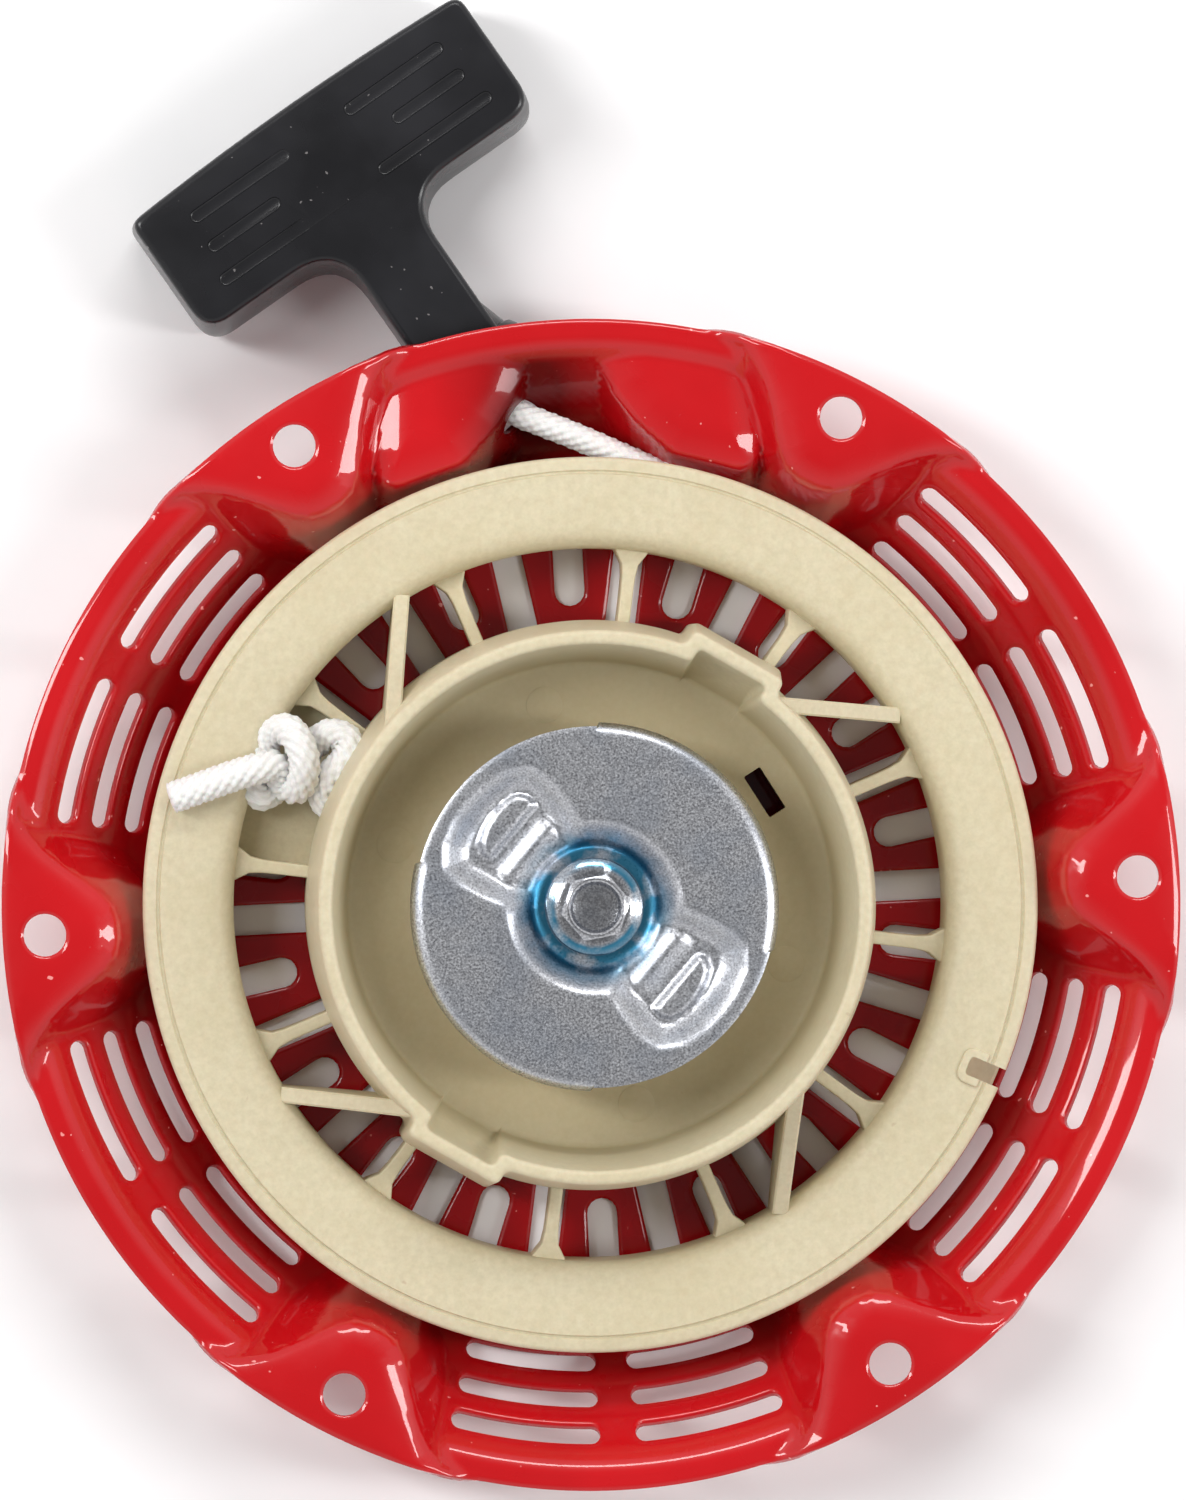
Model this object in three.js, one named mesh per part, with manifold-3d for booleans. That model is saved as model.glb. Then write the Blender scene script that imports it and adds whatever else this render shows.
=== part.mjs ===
// Recoil starter for a small petrol engine. Millimetres, +Z towards the engine.
// The origin is the middle of the case's flat back face; the rope is pulled towards +Y, left of it.
import * as THREE from "three";
import { mergeVertices } from "three/addons/utils/BufferGeometryUtils.js";
import Module from "manifold-3d";

const wasm = await Module();
wasm.setup();

// ---------------------------------------------------------------- sizes
const SHEET = 1.2; // pressed steel of the case
const GAP = 0.3; // between pieces that rest on or turn in each other
const CASE_FACETS = 60; // round the case

const EAR_FACE_Z = 26; // back face to mounting face
const EAR_STEP = 4; // from the flange up to the ears
const RIM_R = 97;
const FLANGE_WIDTH = 4.6;
const WALL_RUN = 19; // width of the sloping wall, seen along the axis
const BOLT_INSET = 7; // rim to bolt circle
const EAR_COUNT = 6;
const EAR_HOLE_R = 3.5;
const EAR_HALF_WIDTH = 18; // at the rim
const EAR_LENGTH = 18; // rim to nose
const EAR_NOSE_HALF_WIDTH = 4.6;

const BACK_SLOT_WIDTH = 5;
const BACK_SLOT_PAIRS = 18; // one long and one short slot each
const LONG_SLOT_INNER_R = 40;
const SHORT_SLOT_INNER_R = 49.5;
const BACK_SLOT_MARGIN = 3.9; // slot ends to the edge of the flat back

const VENT_ROWS = [3.1, 8.6, 14.2]; // outwards from the edge of the flat back
const VENT_WIDTH = 3;
const VENT_INNER_ANGLE = 1.9; // degrees from the middle of a sector
const VENT_OUTER_ANGLE = 18.2;
const OUTLET_SECTOR = 1; // sector centred on +Y, with the rope outlet and no vents

const ROPE_R = 2.5;
const PULL_ANGLE = 122; // degrees from +X
const OUTLET_OFFSET = 8.3; // rope hole, outwards from the edge of the flat back
const OUTLET_ANGLE = 96;
const OUTLET_Z = 12.2;
const OUTLET_CLEARANCE = 0.9;
const PANEL_EDGE_ANGLE = 24.5; // outer edge of each raised panel, from the sector's middle
const PANEL_NOSE_OFFSET = 4.2; // outwards from the edge of the flat back
const PANEL_SPREAD = 3; // extra room between the two panels
const PANEL_DROP = 1; // the flange down to the top of the panels

const POST_R = 7;
const POST_RIVET_R = 5.9;
const POST_COLLAR_R = 11;
const POST_COLLAR_HEIGHT = 1.4;
const POST_NECK_R = 5.2;
const BOLT_R = 3;
const BOLT_BORE_CLEARANCE = 0.35;
const BOLT_LENGTH = 16;
const BOLT_FLANGE_R = 8;
const BOLT_FLANGE_HEIGHT = 1.4;
const BOLT_HEX_R = 5.77; // across corners / 2
const BOLT_HEAD_HEIGHT = 6.2;

const RING_OVERHANG = 0.5; // past the flat back, over the start of the sloping wall
const WINDOW_WIDTH = 11.9; // between the cup and the rope ring
const RING_BOTTOM_Z = 6.6;
const RING_HEIGHT = 14;
const RING_WEB = 2.6;
const RING_FLANGE = 2;
const RING_NOTCH_ANGLE = 334;
const RING_NOTCH_WIDTH = 3.2;
const RING_NOTCH_DEPTH = 6.4;

const CUP_BASE_R = 47;
const CUP_OUTER_DRAFT = 1.7; // narrower at the rim
const CUP_WALL = 2.4; // at the rim
const CUP_INNER_DRAFT = 2.6; // narrower at the floor
const CUP_RIM_Z = 37;
const CUP_FLOOR_Z = 17;
const CUP_FLOOR_THICKNESS = 2;
const CHAMBER_WALL = 3; // round the spring chamber under the cup floor
const CHAMBER_BOTTOM_Z = 3.4;
const BUMP_ANGLE = 57.3; // middle of the first bump-out
const BUMP_WIDTH = 17;
const BUMP_REACH = 2.1; // past the foot of the cup
const BUMP_WALL = 2.3;
const FLOOR_SLOT_ANGLE = 29.7;

const HUB_R = 28.2;
const HUB_TOP_Z = 29.4;
const HUB_RECESS_R = 14.5;
const HUB_RECESS_Z = 24.4;

const RIB_COUNT = 12;
const RIB_ANGLE = 20.3;
const RIB_WIDTH = 2.1;
const RIB_BOTTOM_Z = 8;
const RIB_TOP_Z = 16;
const GUSSET_COUNT = 4;
const GUSSET_WIDTH = 2.6;
const GUSSET_OUTER_ANGLE = 28.4;
const GUSSET_INNER_ANGLE = 45;
const GUSSET_TOP_Z = 34;
const KNOT_WINDOW_ANGLE = 155.3;
const KNOT_WINDOW_SPAN = 30;
const KNOT_FLOOR_Z = 9;
const KNOT_FLOOR_THICKNESS = 1.6;

const RATCHET_COUNT = 2;
const RATCHET_PIVOT_R = 21;
const RATCHET_PIVOT_ANGLE = 90;
const RATCHET_PIN_R = 2.5;
const RATCHET_EYE_R = 4.6;
const RATCHET_LENGTH = 16;
const RATCHET_TIP_WIDTH = 4.4;
const RATCHET_HEIGHT = 5;
const RATCHET_TOP_Z = 28.8;
const RATCHET_SWING = 40; // degrees, outwards
const RATCHET_SPRING_WIRE = 0.6;
const RATCHET_SPRING_SPACE = 2.2;

const GUIDE_R = 30.2;
const GUIDE_THICKNESS = 1.5;
const GUIDE_TOP_Z = 34;
const GUIDE_DISH_R = 14;
const GUIDE_SEAT_R = 9.6;
const GUIDE_SEAT_Z = 30;
const GUIDE_SKIRT = 2.2;
const GUIDE_SKIRT_SPAN = 103; // degrees of each down-turned edge
const GUIDE_SKIRT_ANGLE = 34.5; // middle of the first

const FRICTION_SPRING_WIRE = 1;
const FRICTION_SPRING_TURNS = 2.5;
const RECOIL_STRIP = 0.6;
const RECOIL_WIDTH = 10;
const RECOIL_TURNS = 6;
const RECOIL_MARGIN = 1.2; // free space at the post and at the chamber wall

const HANDLE_SEAT_GAP = 4.8; // collar to the case wall at rest
const COLLAR_R = 9.6;
const COLLAR_HALF_HEIGHT = 7.5;
const COLLAR_LENGTH = 8.8;
const STEM_WIDTH = 14.2;
const STEM_THICKNESS = 15;
const BAR_LENGTH = 67.8;
const BAR_DEPTH = 24; // along the pull
const BAR_THICKNESS = 20;
const BAR_CROWN = 1.4;
const BAR_CORNER = 4;
const STEM_FILLET = 8;
const HANDLE_REACH = 63.5; // case wall to the outer edge of the bar
const HANDLE_BORE_CLEARANCE = 0.6;
const GRIP_POCKET_R = 6.5;
const GRIP_POCKET_DEPTH = 11.4;
const WASHER_THICKNESS = 1.2;
const HANDLE_KNOT_R = 4.5;

const REEL_KNOT_ANGLE = 152.4;
const REEL_KNOT_CLEARANCE = 0.65; // to the cup and to the ring
const REEL_KNOT_TANGENTIAL = 8; // half length of the knot
const TAIL_INSET = 2.6; // rim of the ring to the end of the tail
const TAIL_END_ANGLE = 162.9;

// ---------------------------------------------------------------- helpers
const rad = THREE.MathUtils.degToRad;

function polar(r, degrees, z = 0) {
  return new THREE.Vector3(r * Math.cos(rad(degrees)), r * Math.sin(rad(degrees)), z);
}

function toSolid(geometry) {
  const bare = geometry.clone();
  bare.deleteAttribute("normal");
  bare.deleteAttribute("uv");
  const merged = mergeVertices(bare, 1e-4);
  const mesh = new wasm.Mesh({
    numProp: 3,
    vertProperties: new Float32Array(merged.attributes.position.array),
    triVerts: new Uint32Array(merged.index.array),
  });
  mesh.merge();
  return new wasm.Manifold(mesh);
}

function toGeometry(solid) {
  const mesh = solid.getMesh();
  const geometry = new THREE.BufferGeometry();
  geometry.setAttribute("position", new THREE.BufferAttribute(mesh.vertProperties, 3));
  geometry.setIndex(new THREE.BufferAttribute(mesh.triVerts, 1));
  return geometry;
}

function joined(solids) {
  return solids.reduce((all, next) => all.add(next));
}

// A body of revolution about +Z from [radius, height] pairs, listed anticlockwise.
function turned(profile, segments = 48) {
  const points = profile.map(([r, z]) => new THREE.Vector2(r, z));
  return new THREE.LatheGeometry(points, segments).rotateX(Math.PI / 2);
}

// A body of revolution whose profile is a loop that stays off the axis.
function turnedRing(profile, segments = 48) {
  return turned([...profile, profile[0]], segments);
}

// An upright extrusion; each arc of its outline is cut into `facets` straight edges.
function prism(shape, bottom, top, facets = 4) {
  const options = { depth: top - bottom, bevelEnabled: false, curveSegments: facets / 2 };
  return new THREE.ExtrudeGeometry(shape, options).translate(0, 0, bottom);
}

function disc(radius, bottom, top, segments = 24) {
  const cylinder = new THREE.CylinderGeometry(radius, radius, top - bottom, segments);
  return cylinder.rotateX(Math.PI / 2).translate(0, 0, (top + bottom) / 2);
}

function outline(points) {
  return new THREE.Shape(points.map((p) => new THREE.Vector2(p.x, p.y)));
}

function box(x0, x1, y0, y1, z0, z1) {
  const block = new THREE.BoxGeometry(x1 - x0, y1 - y0, z1 - z0);
  return block.translate((x0 + x1) / 2, (y0 + y1) / 2, (z0 + z1) / 2);
}

// A straight slot with round ends, lying along +X.
function slotShape(inner, outer, width) {
  const half = width / 2;
  const shape = new THREE.Shape();
  shape.absarc(outer - half, 0, half, -Math.PI / 2, Math.PI / 2, false);
  shape.absarc(inner + half, 0, half, Math.PI / 2, (3 * Math.PI) / 2, false);
  return shape;
}

// A slot with round ends that follows a circle about the origin.
function arcSlotShape(radius, width, fromDegrees, toDegrees) {
  const half = width / 2;
  const endAngle = half / radius;
  const from = rad(fromDegrees) + endAngle;
  const to = rad(toDegrees) - endAngle;
  const shape = new THREE.Shape();
  shape.absarc(0, 0, radius + half, from, to, false);
  shape.absarc(radius * Math.cos(to), radius * Math.sin(to), half, to, to + Math.PI, false);
  shape.absarc(0, 0, radius - half, to, from, true);
  const end = from + Math.PI;
  shape.absarc(radius * Math.cos(from), radius * Math.sin(from), half, end, end + Math.PI, false);
  return shape;
}

// A wedge of a ring, for cutting or filling between two angles.
function sectorShape(inner, outer, fromDegrees, toDegrees) {
  const shape = new THREE.Shape();
  shape.absarc(0, 0, outer, rad(fromDegrees), rad(toDegrees), false);
  shape.absarc(0, 0, inner, rad(toDegrees), rad(fromDegrees), true);
  return shape;
}

function tubeAlong(curve, radius, steps, sides = 8) {
  const section = new THREE.Shape();
  section.absarc(0, 0, radius, 0, 2 * Math.PI, false);
  const options = { steps, curveSegments: sides / 2, extrudePath: curve, bevelEnabled: false };
  return new THREE.ExtrudeGeometry(section, options);
}

function smoothPath(points) {
  return new THREE.CatmullRomCurve3(points, false, "centripetal");
}

const STEEL_RED = { color: 0xc8141c, roughness: 0.25, metalness: 0.1 };
const ZINC = { color: 0xb4bac2, roughness: 0.35, metalness: 0.9 };
const SPRING_STEEL = { color: 0x6d7278, roughness: 0.4, metalness: 0.9 };
const HARD_STEEL = { color: 0x8a8e92, roughness: 0.45, metalness: 0.85 };
const NYLON = { color: 0xe0d8b2, roughness: 0.5, metalness: 0 };
const BLACK_PLASTIC = { color: 0x161618, roughness: 0.4, metalness: 0 };
const ROPE_WHITE = { color: 0xf1f0ec, roughness: 0.85, metalness: 0 };

const starter = new THREE.Group();

function addPiece(name, shape, finish) {
  const geometry = shape instanceof THREE.BufferGeometry ? toSolid(shape) : shape;
  const mesh = new THREE.Mesh(toGeometry(geometry), new THREE.MeshStandardMaterial(finish));
  mesh.name = name;
  starter.add(mesh);
  return mesh;
}

// ---------------------------------------------------------------- places worked out from the sizes
const sectorAngle = 360 / EAR_COUNT;
const sectorMiddle = (k) => (k + 0.5) * sectorAngle;
const flangeZ = EAR_FACE_Z - EAR_STEP;
const flangeInnerR = RIM_R - FLANGE_WIDTH;
const backR = flangeInnerR - WALL_RUN; // flat back, inside the corner
const boltCircleR = RIM_R - BOLT_INSET;
const outletR = backR + OUTLET_OFFSET;
const ringR = backR + RING_OVERHANG;
const ringInnerR = CUP_BASE_R + WINDOW_WIDTH;
const cupRimR = CUP_BASE_R - CUP_OUTER_DRAFT;
const cupRimInnerR = cupRimR - CUP_WALL;
const cupFloorR = cupRimInnerR - CUP_INNER_DRAFT;
const chamberR = CUP_BASE_R - CHAMBER_WALL;
const pullDirection = polar(1, PULL_ANGLE);
const acrossPull = polar(1, PULL_ANGLE - 90);
const outletPoint = polar(outletR, OUTLET_ANGLE, OUTLET_Z);
const ropeHoleR = ROPE_R + OUTLET_CLEARANCE;
const ringTopZ = RING_BOTTOM_Z + RING_HEIGHT;
const ropePlaneZ = RING_BOTTOM_Z + RING_HEIGHT / 2;
const postBoreR = POST_R + GAP;
const seatBottomZ = GUIDE_SEAT_Z - GUIDE_THICKNESS;
const postTopZ = GUIDE_SEAT_Z + GAP;
const boltSeatZ = postTopZ + GAP;
const pocketFloorZ = RATCHET_TOP_Z - RATCHET_HEIGHT - RATCHET_SPRING_SPACE;
const leaveTurn = 31; // degrees round the reel, from the outlet back to where the rope leaves it
const runLayerR = outletR * Math.cos(rad(leaveTurn)); // radius of the layer the rope leaves from
const leaveAngle = OUTLET_ANGLE - leaveTurn;
const leavePoint = polar(runLayerR, leaveAngle, ropePlaneZ);

// The handle is built lying along +X from the rope hole, then turned to the pull.
function placeOnPull(geometry) {
  return geometry.rotateZ(rad(PULL_ANGLE)).translate(outletPoint.x, outletPoint.y, outletPoint.z);
}

// ---------------------------------------------------------------- case
const coneSlope = (flangeZ - SHEET) / (flangeInnerR - backR);
const coneTilt = Math.atan(coneSlope);
const coneShift = SHEET * Math.tan(coneTilt / 2); // where the outer surface turns the same corners

function caseShell() {
  const holeR = POST_RIVET_R + GAP;
  return turnedRing(
    [
      [holeR, 0],
      [backR + coneShift, 0],
      [flangeInnerR + coneShift, flangeZ - SHEET],
      [RIM_R, flangeZ - SHEET],
      [RIM_R, flangeZ],
      [flangeInnerR, flangeZ],
      [backR, SHEET],
      [holeR, SHEET],
    ],
    CASE_FACETS,
  );
}

// Everything above the outer surface of the case: what a raised pressing may fill.
function aboveOuterSurface() {
  return turned(
    [
      [0, 0],
      [backR + coneShift, 0],
      [flangeInnerR + coneShift, flangeZ - SHEET],
      [RIM_R, flangeZ - SHEET],
      [RIM_R, EAR_FACE_Z + SHEET],
      [0, EAR_FACE_Z + SHEET],
    ],
    CASE_FACETS,
  );
}

function earOutline(angle, inset) {
  const noseR = RIM_R - EAR_LENGTH + inset;
  const noseHalf = EAR_NOSE_HALF_WIDTH - inset;
  const rimHalf = EAR_HALF_WIDTH - inset;
  const beyond = RIM_R + SHEET;
  const half = [
    [noseR, noseHalf * 0.55],
    [noseR + 1.4, noseHalf],
    [boltCircleR, (noseHalf + 2 * rimHalf) / 3],
    [beyond, rimHalf],
  ];
  const mirrored = half.map(([r, side]) => [r, -side]).reverse();
  const turn = new THREE.Vector3(0, 0, 1);
  const points = [...mirrored, ...half];
  return outline(points.map(([r, s]) => new THREE.Vector3(r, s, 0).applyAxisAngle(turn, rad(angle))));
}

// Left panel beside the rope outlet; the handle's collar sits in the pocket under it.
function panelOutline(inset, mirrored) {
  const corner = COLLAR_R + GAP + SHEET - inset;
  const wall = outletPoint.clone().addScaledVector(pullDirection, inset - SHEET);
  const insetAngle = THREE.MathUtils.radToDeg(inset / boltCircleR);
  const edge = sectorMiddle(OUTLET_SECTOR) + PANEL_EDGE_ANGLE - insetAngle;
  const nose = backR + PANEL_NOSE_OFFSET + inset;
  const beyond = RIM_R + SHEET;
  const points = [
    wall.clone().addScaledVector(acrossPull, corner).addScaledVector(pullDirection, beyond - outletR),
    wall.clone().addScaledVector(acrossPull, corner),
    wall.clone().addScaledVector(acrossPull, -corner),
    polar(nose, edge - 7),
    polar(nose + 1.5, edge - 2),
    polar(nose + 5, edge),
    polar(beyond, edge),
  ];
  if (mirrored) points.forEach((p) => p.setX(PANEL_SPREAD - p.x));
  return outline(mirrored ? points.reverse() : points);
}

// A pressing stands up from the sheet inside `outer`, and is hollow behind inside `inner`.
function pressing(outer, inner, top) {
  const raised = toSolid(prism(outer, 0, top)).intersect(toSolid(aboveOuterSurface()));
  const hollow = toSolid(prism(inner, -SHEET, top - SHEET));
  return { raised, hollow };
}

function backSlots() {
  const slots = [];
  const step = 360 / BACK_SLOT_PAIRS;
  const outer = backR - BACK_SLOT_MARGIN;
  for (let k = 0; k < BACK_SLOT_PAIRS; k += 1) {
    const long = prism(slotShape(LONG_SLOT_INNER_R, outer, BACK_SLOT_WIDTH), -SHEET, 2 * SHEET);
    const short = prism(slotShape(SHORT_SLOT_INNER_R, outer, BACK_SLOT_WIDTH), -SHEET, 2 * SHEET);
    slots.push(toSolid(long.rotateZ(rad(k * step))));
    slots.push(toSolid(short.rotateZ(rad((k + 0.5) * step))));
  }
  return joined(slots);
}

function vents() {
  const cuts = [];
  for (let sector = 0; sector < EAR_COUNT; sector += 1) {
    if (sector === OUTLET_SECTOR) continue;
    for (const row of VENT_ROWS) {
      for (const side of [-1, 1]) {
        const ends = [side * VENT_INNER_ANGLE, side * VENT_OUTER_ANGLE].sort((a, b) => a - b);
        const shape = arcSlotShape(backR + row, VENT_WIDTH, ends[0], ends[1]);
        cuts.push(toSolid(prism(shape, -SHEET, flangeZ).rotateZ(rad(sectorMiddle(sector)))));
      }
    }
  }
  return joined(cuts);
}

// The hole in the outlet wall, relieved along both legs of the rope, which turns in it.
function ropeHole() {
  const towardsHandle = toSolid(placeOnPull(disc(ropeHoleR, -3, 4, 12).rotateY(Math.PI / 2)));
  const relief = new THREE.LineCurve3(outletPoint, outletPoint.clone().lerp(leavePoint, 0.35));
  return towardsHandle.add(toSolid(tubeAlong(relief, ropeHoleR, 1, 12)));
}

function earHole(angle) {
  const at = polar(boltCircleR, angle);
  return toSolid(disc(EAR_HOLE_R, flangeZ, EAR_FACE_Z + SHEET, 16).translate(at.x, at.y, 0));
}

function starterCase() {
  const angles = Array.from({ length: EAR_COUNT }, (_, k) => k * sectorAngle);
  const pressings = [
    ...[false, true].map((m) => pressing(panelOutline(0, m), panelOutline(SHEET, m), flangeZ - PANEL_DROP)),
    ...angles.map((a) => pressing(earOutline(a, 0), earOutline(a, SHEET), EAR_FACE_Z)),
  ];
  return joined([toSolid(caseShell()), ...pressings.map((p) => p.raised)])
    .subtract(joined(pressings.map((p) => p.hollow)))
    .subtract(joined(angles.map(earHole)))
    .subtract(backSlots())
    .subtract(vents())
    .subtract(ropeHole());
}

// ---------------------------------------------------------------- post and bolt
function centrePost() {
  const boreR = BOLT_R + BOLT_BORE_CLEARANCE;
  const collarZ = SHEET + GAP;
  const boreZ = boltSeatZ - BOLT_LENGTH - 1;
  return turned(
    [
      [0, 0],
      [POST_RIVET_R, 0],
      [POST_RIVET_R, collarZ],
      [POST_COLLAR_R, collarZ],
      [POST_COLLAR_R, collarZ + POST_COLLAR_HEIGHT],
      [POST_R, collarZ + POST_COLLAR_HEIGHT],
      [POST_R, HUB_RECESS_Z],
      [POST_NECK_R, HUB_RECESS_Z],
      [POST_NECK_R, postTopZ],
      [boreR, postTopZ],
      [boreR, boreZ],
      [0, boreZ],
    ],
    32,
  );
}

function centreBolt() {
  const flangeTop = boltSeatZ + BOLT_FLANGE_HEIGHT;
  const stem = turned(
    [
      [0, boltSeatZ - BOLT_LENGTH],
      [BOLT_R, boltSeatZ - BOLT_LENGTH],
      [BOLT_R, boltSeatZ],
      [BOLT_FLANGE_R, boltSeatZ],
      [BOLT_FLANGE_R, boltSeatZ + BOLT_FLANGE_HEIGHT / 2],
      [BOLT_HEX_R, flangeTop],
      [0, flangeTop],
    ],
    24,
  );
  const hex = disc(BOLT_HEX_R, boltSeatZ + BOLT_FLANGE_HEIGHT / 2, boltSeatZ + BOLT_HEAD_HEIGHT, 6);
  return toSolid(stem).add(toSolid(hex));
}

// ---------------------------------------------------------------- reel
function ropeRing() {
  const webR = ringInnerR + RING_WEB;
  return turnedRing([
    [ringInnerR, RING_BOTTOM_Z],
    [ringR, RING_BOTTOM_Z],
    [ringR, RING_BOTTOM_Z + RING_FLANGE],
    [webR, RING_BOTTOM_Z + RING_FLANGE],
    [webR, ringTopZ - RING_FLANGE],
    [ringR, ringTopZ - RING_FLANGE],
    [ringR, ringTopZ],
    [ringInnerR, ringTopZ],
  ]);
}

function cupOutside() {
  return turned([
    [0, CHAMBER_BOTTOM_Z],
    [CUP_BASE_R, CHAMBER_BOTTOM_Z],
    [CUP_BASE_R, ringTopZ],
    [cupRimR, CUP_RIM_Z],
    [0, CUP_RIM_Z],
  ]);
}

function cupInside() {
  return turned([
    [0, CUP_FLOOR_Z],
    [cupFloorR, CUP_FLOOR_Z],
    [cupRimInnerR, CUP_RIM_Z],
    [cupRimInnerR, CUP_RIM_Z + SHEET],
    [0, CUP_RIM_Z + SHEET],
  ]);
}

function bumpOut(angle, wall, bottom, top) {
  const half = BUMP_WIDTH / 2 - wall;
  const shape = new THREE.Shape();
  const outer = CUP_BASE_R + BUMP_REACH - wall;
  const corner = 3;
  shape.moveTo(cupFloorR - 2, -half);
  shape.lineTo(outer - corner, -half);
  shape.absarc(outer - corner, -half + corner, corner, -Math.PI / 2, 0, false);
  shape.absarc(outer - corner, half - corner, corner, 0, Math.PI / 2, false);
  shape.lineTo(cupFloorR - 2, half);
  return prism(shape, bottom, top).rotateZ(rad(angle));
}

function radialRib(angle) {
  const half = RIB_WIDTH / 2;
  const rib = box(CUP_BASE_R - 1, ringInnerR + 1, -half, half, RIB_BOTTOM_Z, RIB_TOP_Z);
  return rib.rotateZ(rad(angle));
}

// A sloping web from the ring up to the rim of the cup.
function gusset(turn) {
  const start = polar(ringInnerR + 1, GUSSET_OUTER_ANGLE);
  const end = polar(cupRimR - 0.8, GUSSET_INNER_ANGLE);
  const along = end.clone().sub(start);
  const side = new THREE.Shape();
  side.moveTo(0, RIB_BOTTOM_Z);
  side.lineTo(along.length(), RIB_BOTTOM_Z);
  side.lineTo(along.length(), GUSSET_TOP_Z);
  side.lineTo(0, ringTopZ);
  const options = { depth: GUSSET_WIDTH, bevelEnabled: false };
  const web = new THREE.ExtrudeGeometry(side, options).translate(0, 0, -GUSSET_WIDTH / 2);
  web.rotateX(Math.PI / 2).rotateZ(Math.atan2(along.y, along.x)).translate(start.x, start.y, 0);
  return web.rotateZ(rad(turn));
}

function hub() {
  return turned([
    [0, CUP_FLOOR_Z - 1],
    [HUB_R, CUP_FLOOR_Z - 1],
    [HUB_R, HUB_TOP_Z],
    [HUB_RECESS_R, HUB_TOP_Z],
    [HUB_RECESS_R, HUB_RECESS_Z],
    [0, HUB_RECESS_Z],
  ]);
}

// Outline of a ratchet about its own pivot, pointing along +Y; it swings towards +X.
function ratchetOutline(margin) {
  const eye = RATCHET_EYE_R + margin;
  const tipHalf = RATCHET_TIP_WIDTH / 2 + margin;
  const shape = new THREE.Shape();
  shape.absarc(0, 0, eye, Math.PI, 2 * Math.PI, false);
  shape.lineTo(tipHalf + 0.6, RATCHET_LENGTH * 0.55);
  shape.lineTo(tipHalf - 0.4, RATCHET_LENGTH + margin);
  shape.lineTo(-tipHalf + 1, RATCHET_LENGTH - 1.4 + margin);
  shape.lineTo(-tipHalf - 0.4, RATCHET_LENGTH * 0.5);
  return shape;
}

function placeRatchet(geometry, k) {
  const angle = RATCHET_PIVOT_ANGLE + (k * 360) / RATCHET_COUNT;
  return geometry.translate(RATCHET_PIVOT_R, 0, 0).rotateZ(rad(angle));
}

// The pocket in the hub is every place the ratchet sweeps, with room around it.
function ratchetPocket(k) {
  const sweeps = [];
  const steps = 4;
  for (let i = 0; i <= steps; i += 1) {
    const blade = prism(ratchetOutline(0.8), pocketFloorZ, HUB_TOP_Z + SHEET);
    const swing = rad((-RATCHET_SWING * i) / steps);
    sweeps.push(toSolid(placeRatchet(blade.rotateZ(swing), k)));
  }
  return joined(sweeps);
}

function ratchetPin(k) {
  return toSolid(placeRatchet(disc(RATCHET_PIN_R, pocketFloorZ - 1, HUB_TOP_Z, 16), k));
}

function knotFloor() {
  const from = KNOT_WINDOW_ANGLE - KNOT_WINDOW_SPAN / 2;
  const to = KNOT_WINDOW_ANGLE + KNOT_WINDOW_SPAN / 2;
  const shape = sectorShape(CUP_BASE_R - 1, ringInnerR + 1, from, to);
  return prism(shape, KNOT_FLOOR_Z, KNOT_FLOOR_Z + KNOT_FLOOR_THICKNESS);
}

function reel() {
  const bumpAngles = [BUMP_ANGLE, BUMP_ANGLE + 180];
  let body = toSolid(cupOutside());
  for (const angle of bumpAngles) {
    body = body.add(toSolid(bumpOut(angle, 0, CUP_FLOOR_Z - CUP_FLOOR_THICKNESS, CUP_RIM_Z)));
  }
  for (let k = 0; k < GUSSET_COUNT; k += 1) {
    body = body.add(toSolid(gusset((k * 360) / GUSSET_COUNT)));
  }
  body = body.subtract(toSolid(cupInside()));
  for (const angle of bumpAngles) {
    body = body.subtract(toSolid(bumpOut(angle, BUMP_WALL, CUP_FLOOR_Z, CUP_RIM_Z + SHEET)));
  }
  body = body.add(toSolid(hub())).add(toSolid(ropeRing())).add(toSolid(knotFloor()));
  for (let k = 0; k < RIB_COUNT; k += 1) {
    body = body.add(toSolid(radialRib(RIB_ANGLE + (k * 360) / RIB_COUNT)));
  }
  for (let k = 0; k < RATCHET_COUNT; k += 1) {
    body = body.subtract(ratchetPocket(k)).add(ratchetPin(k));
  }
  const chamberTop = CUP_FLOOR_Z - CUP_FLOOR_THICKNESS;
  const notch = box(ringR - RING_NOTCH_DEPTH, ringR + 1, -RING_NOTCH_WIDTH / 2, RING_NOTCH_WIDTH / 2,
    ringTopZ - RING_FLANGE - 1, ringTopZ + 1);
  const slotR = (HUB_R + cupFloorR) / 2;
  const floorSlot = box(slotR - 1.6, slotR + 1.6, -4, 4, chamberTop - 1, CUP_FLOOR_Z + 1);
  return body
    .subtract(toSolid(disc(chamberR, CHAMBER_BOTTOM_Z - 1, chamberTop, 60)))
    .subtract(toSolid(disc(postBoreR, 0, HUB_TOP_Z, 32)))
    .subtract(toSolid(notch.rotateZ(rad(RING_NOTCH_ANGLE))))
    .subtract(toSolid(floorSlot.rotateZ(rad(FLOOR_SLOT_ANGLE))));
}

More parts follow.
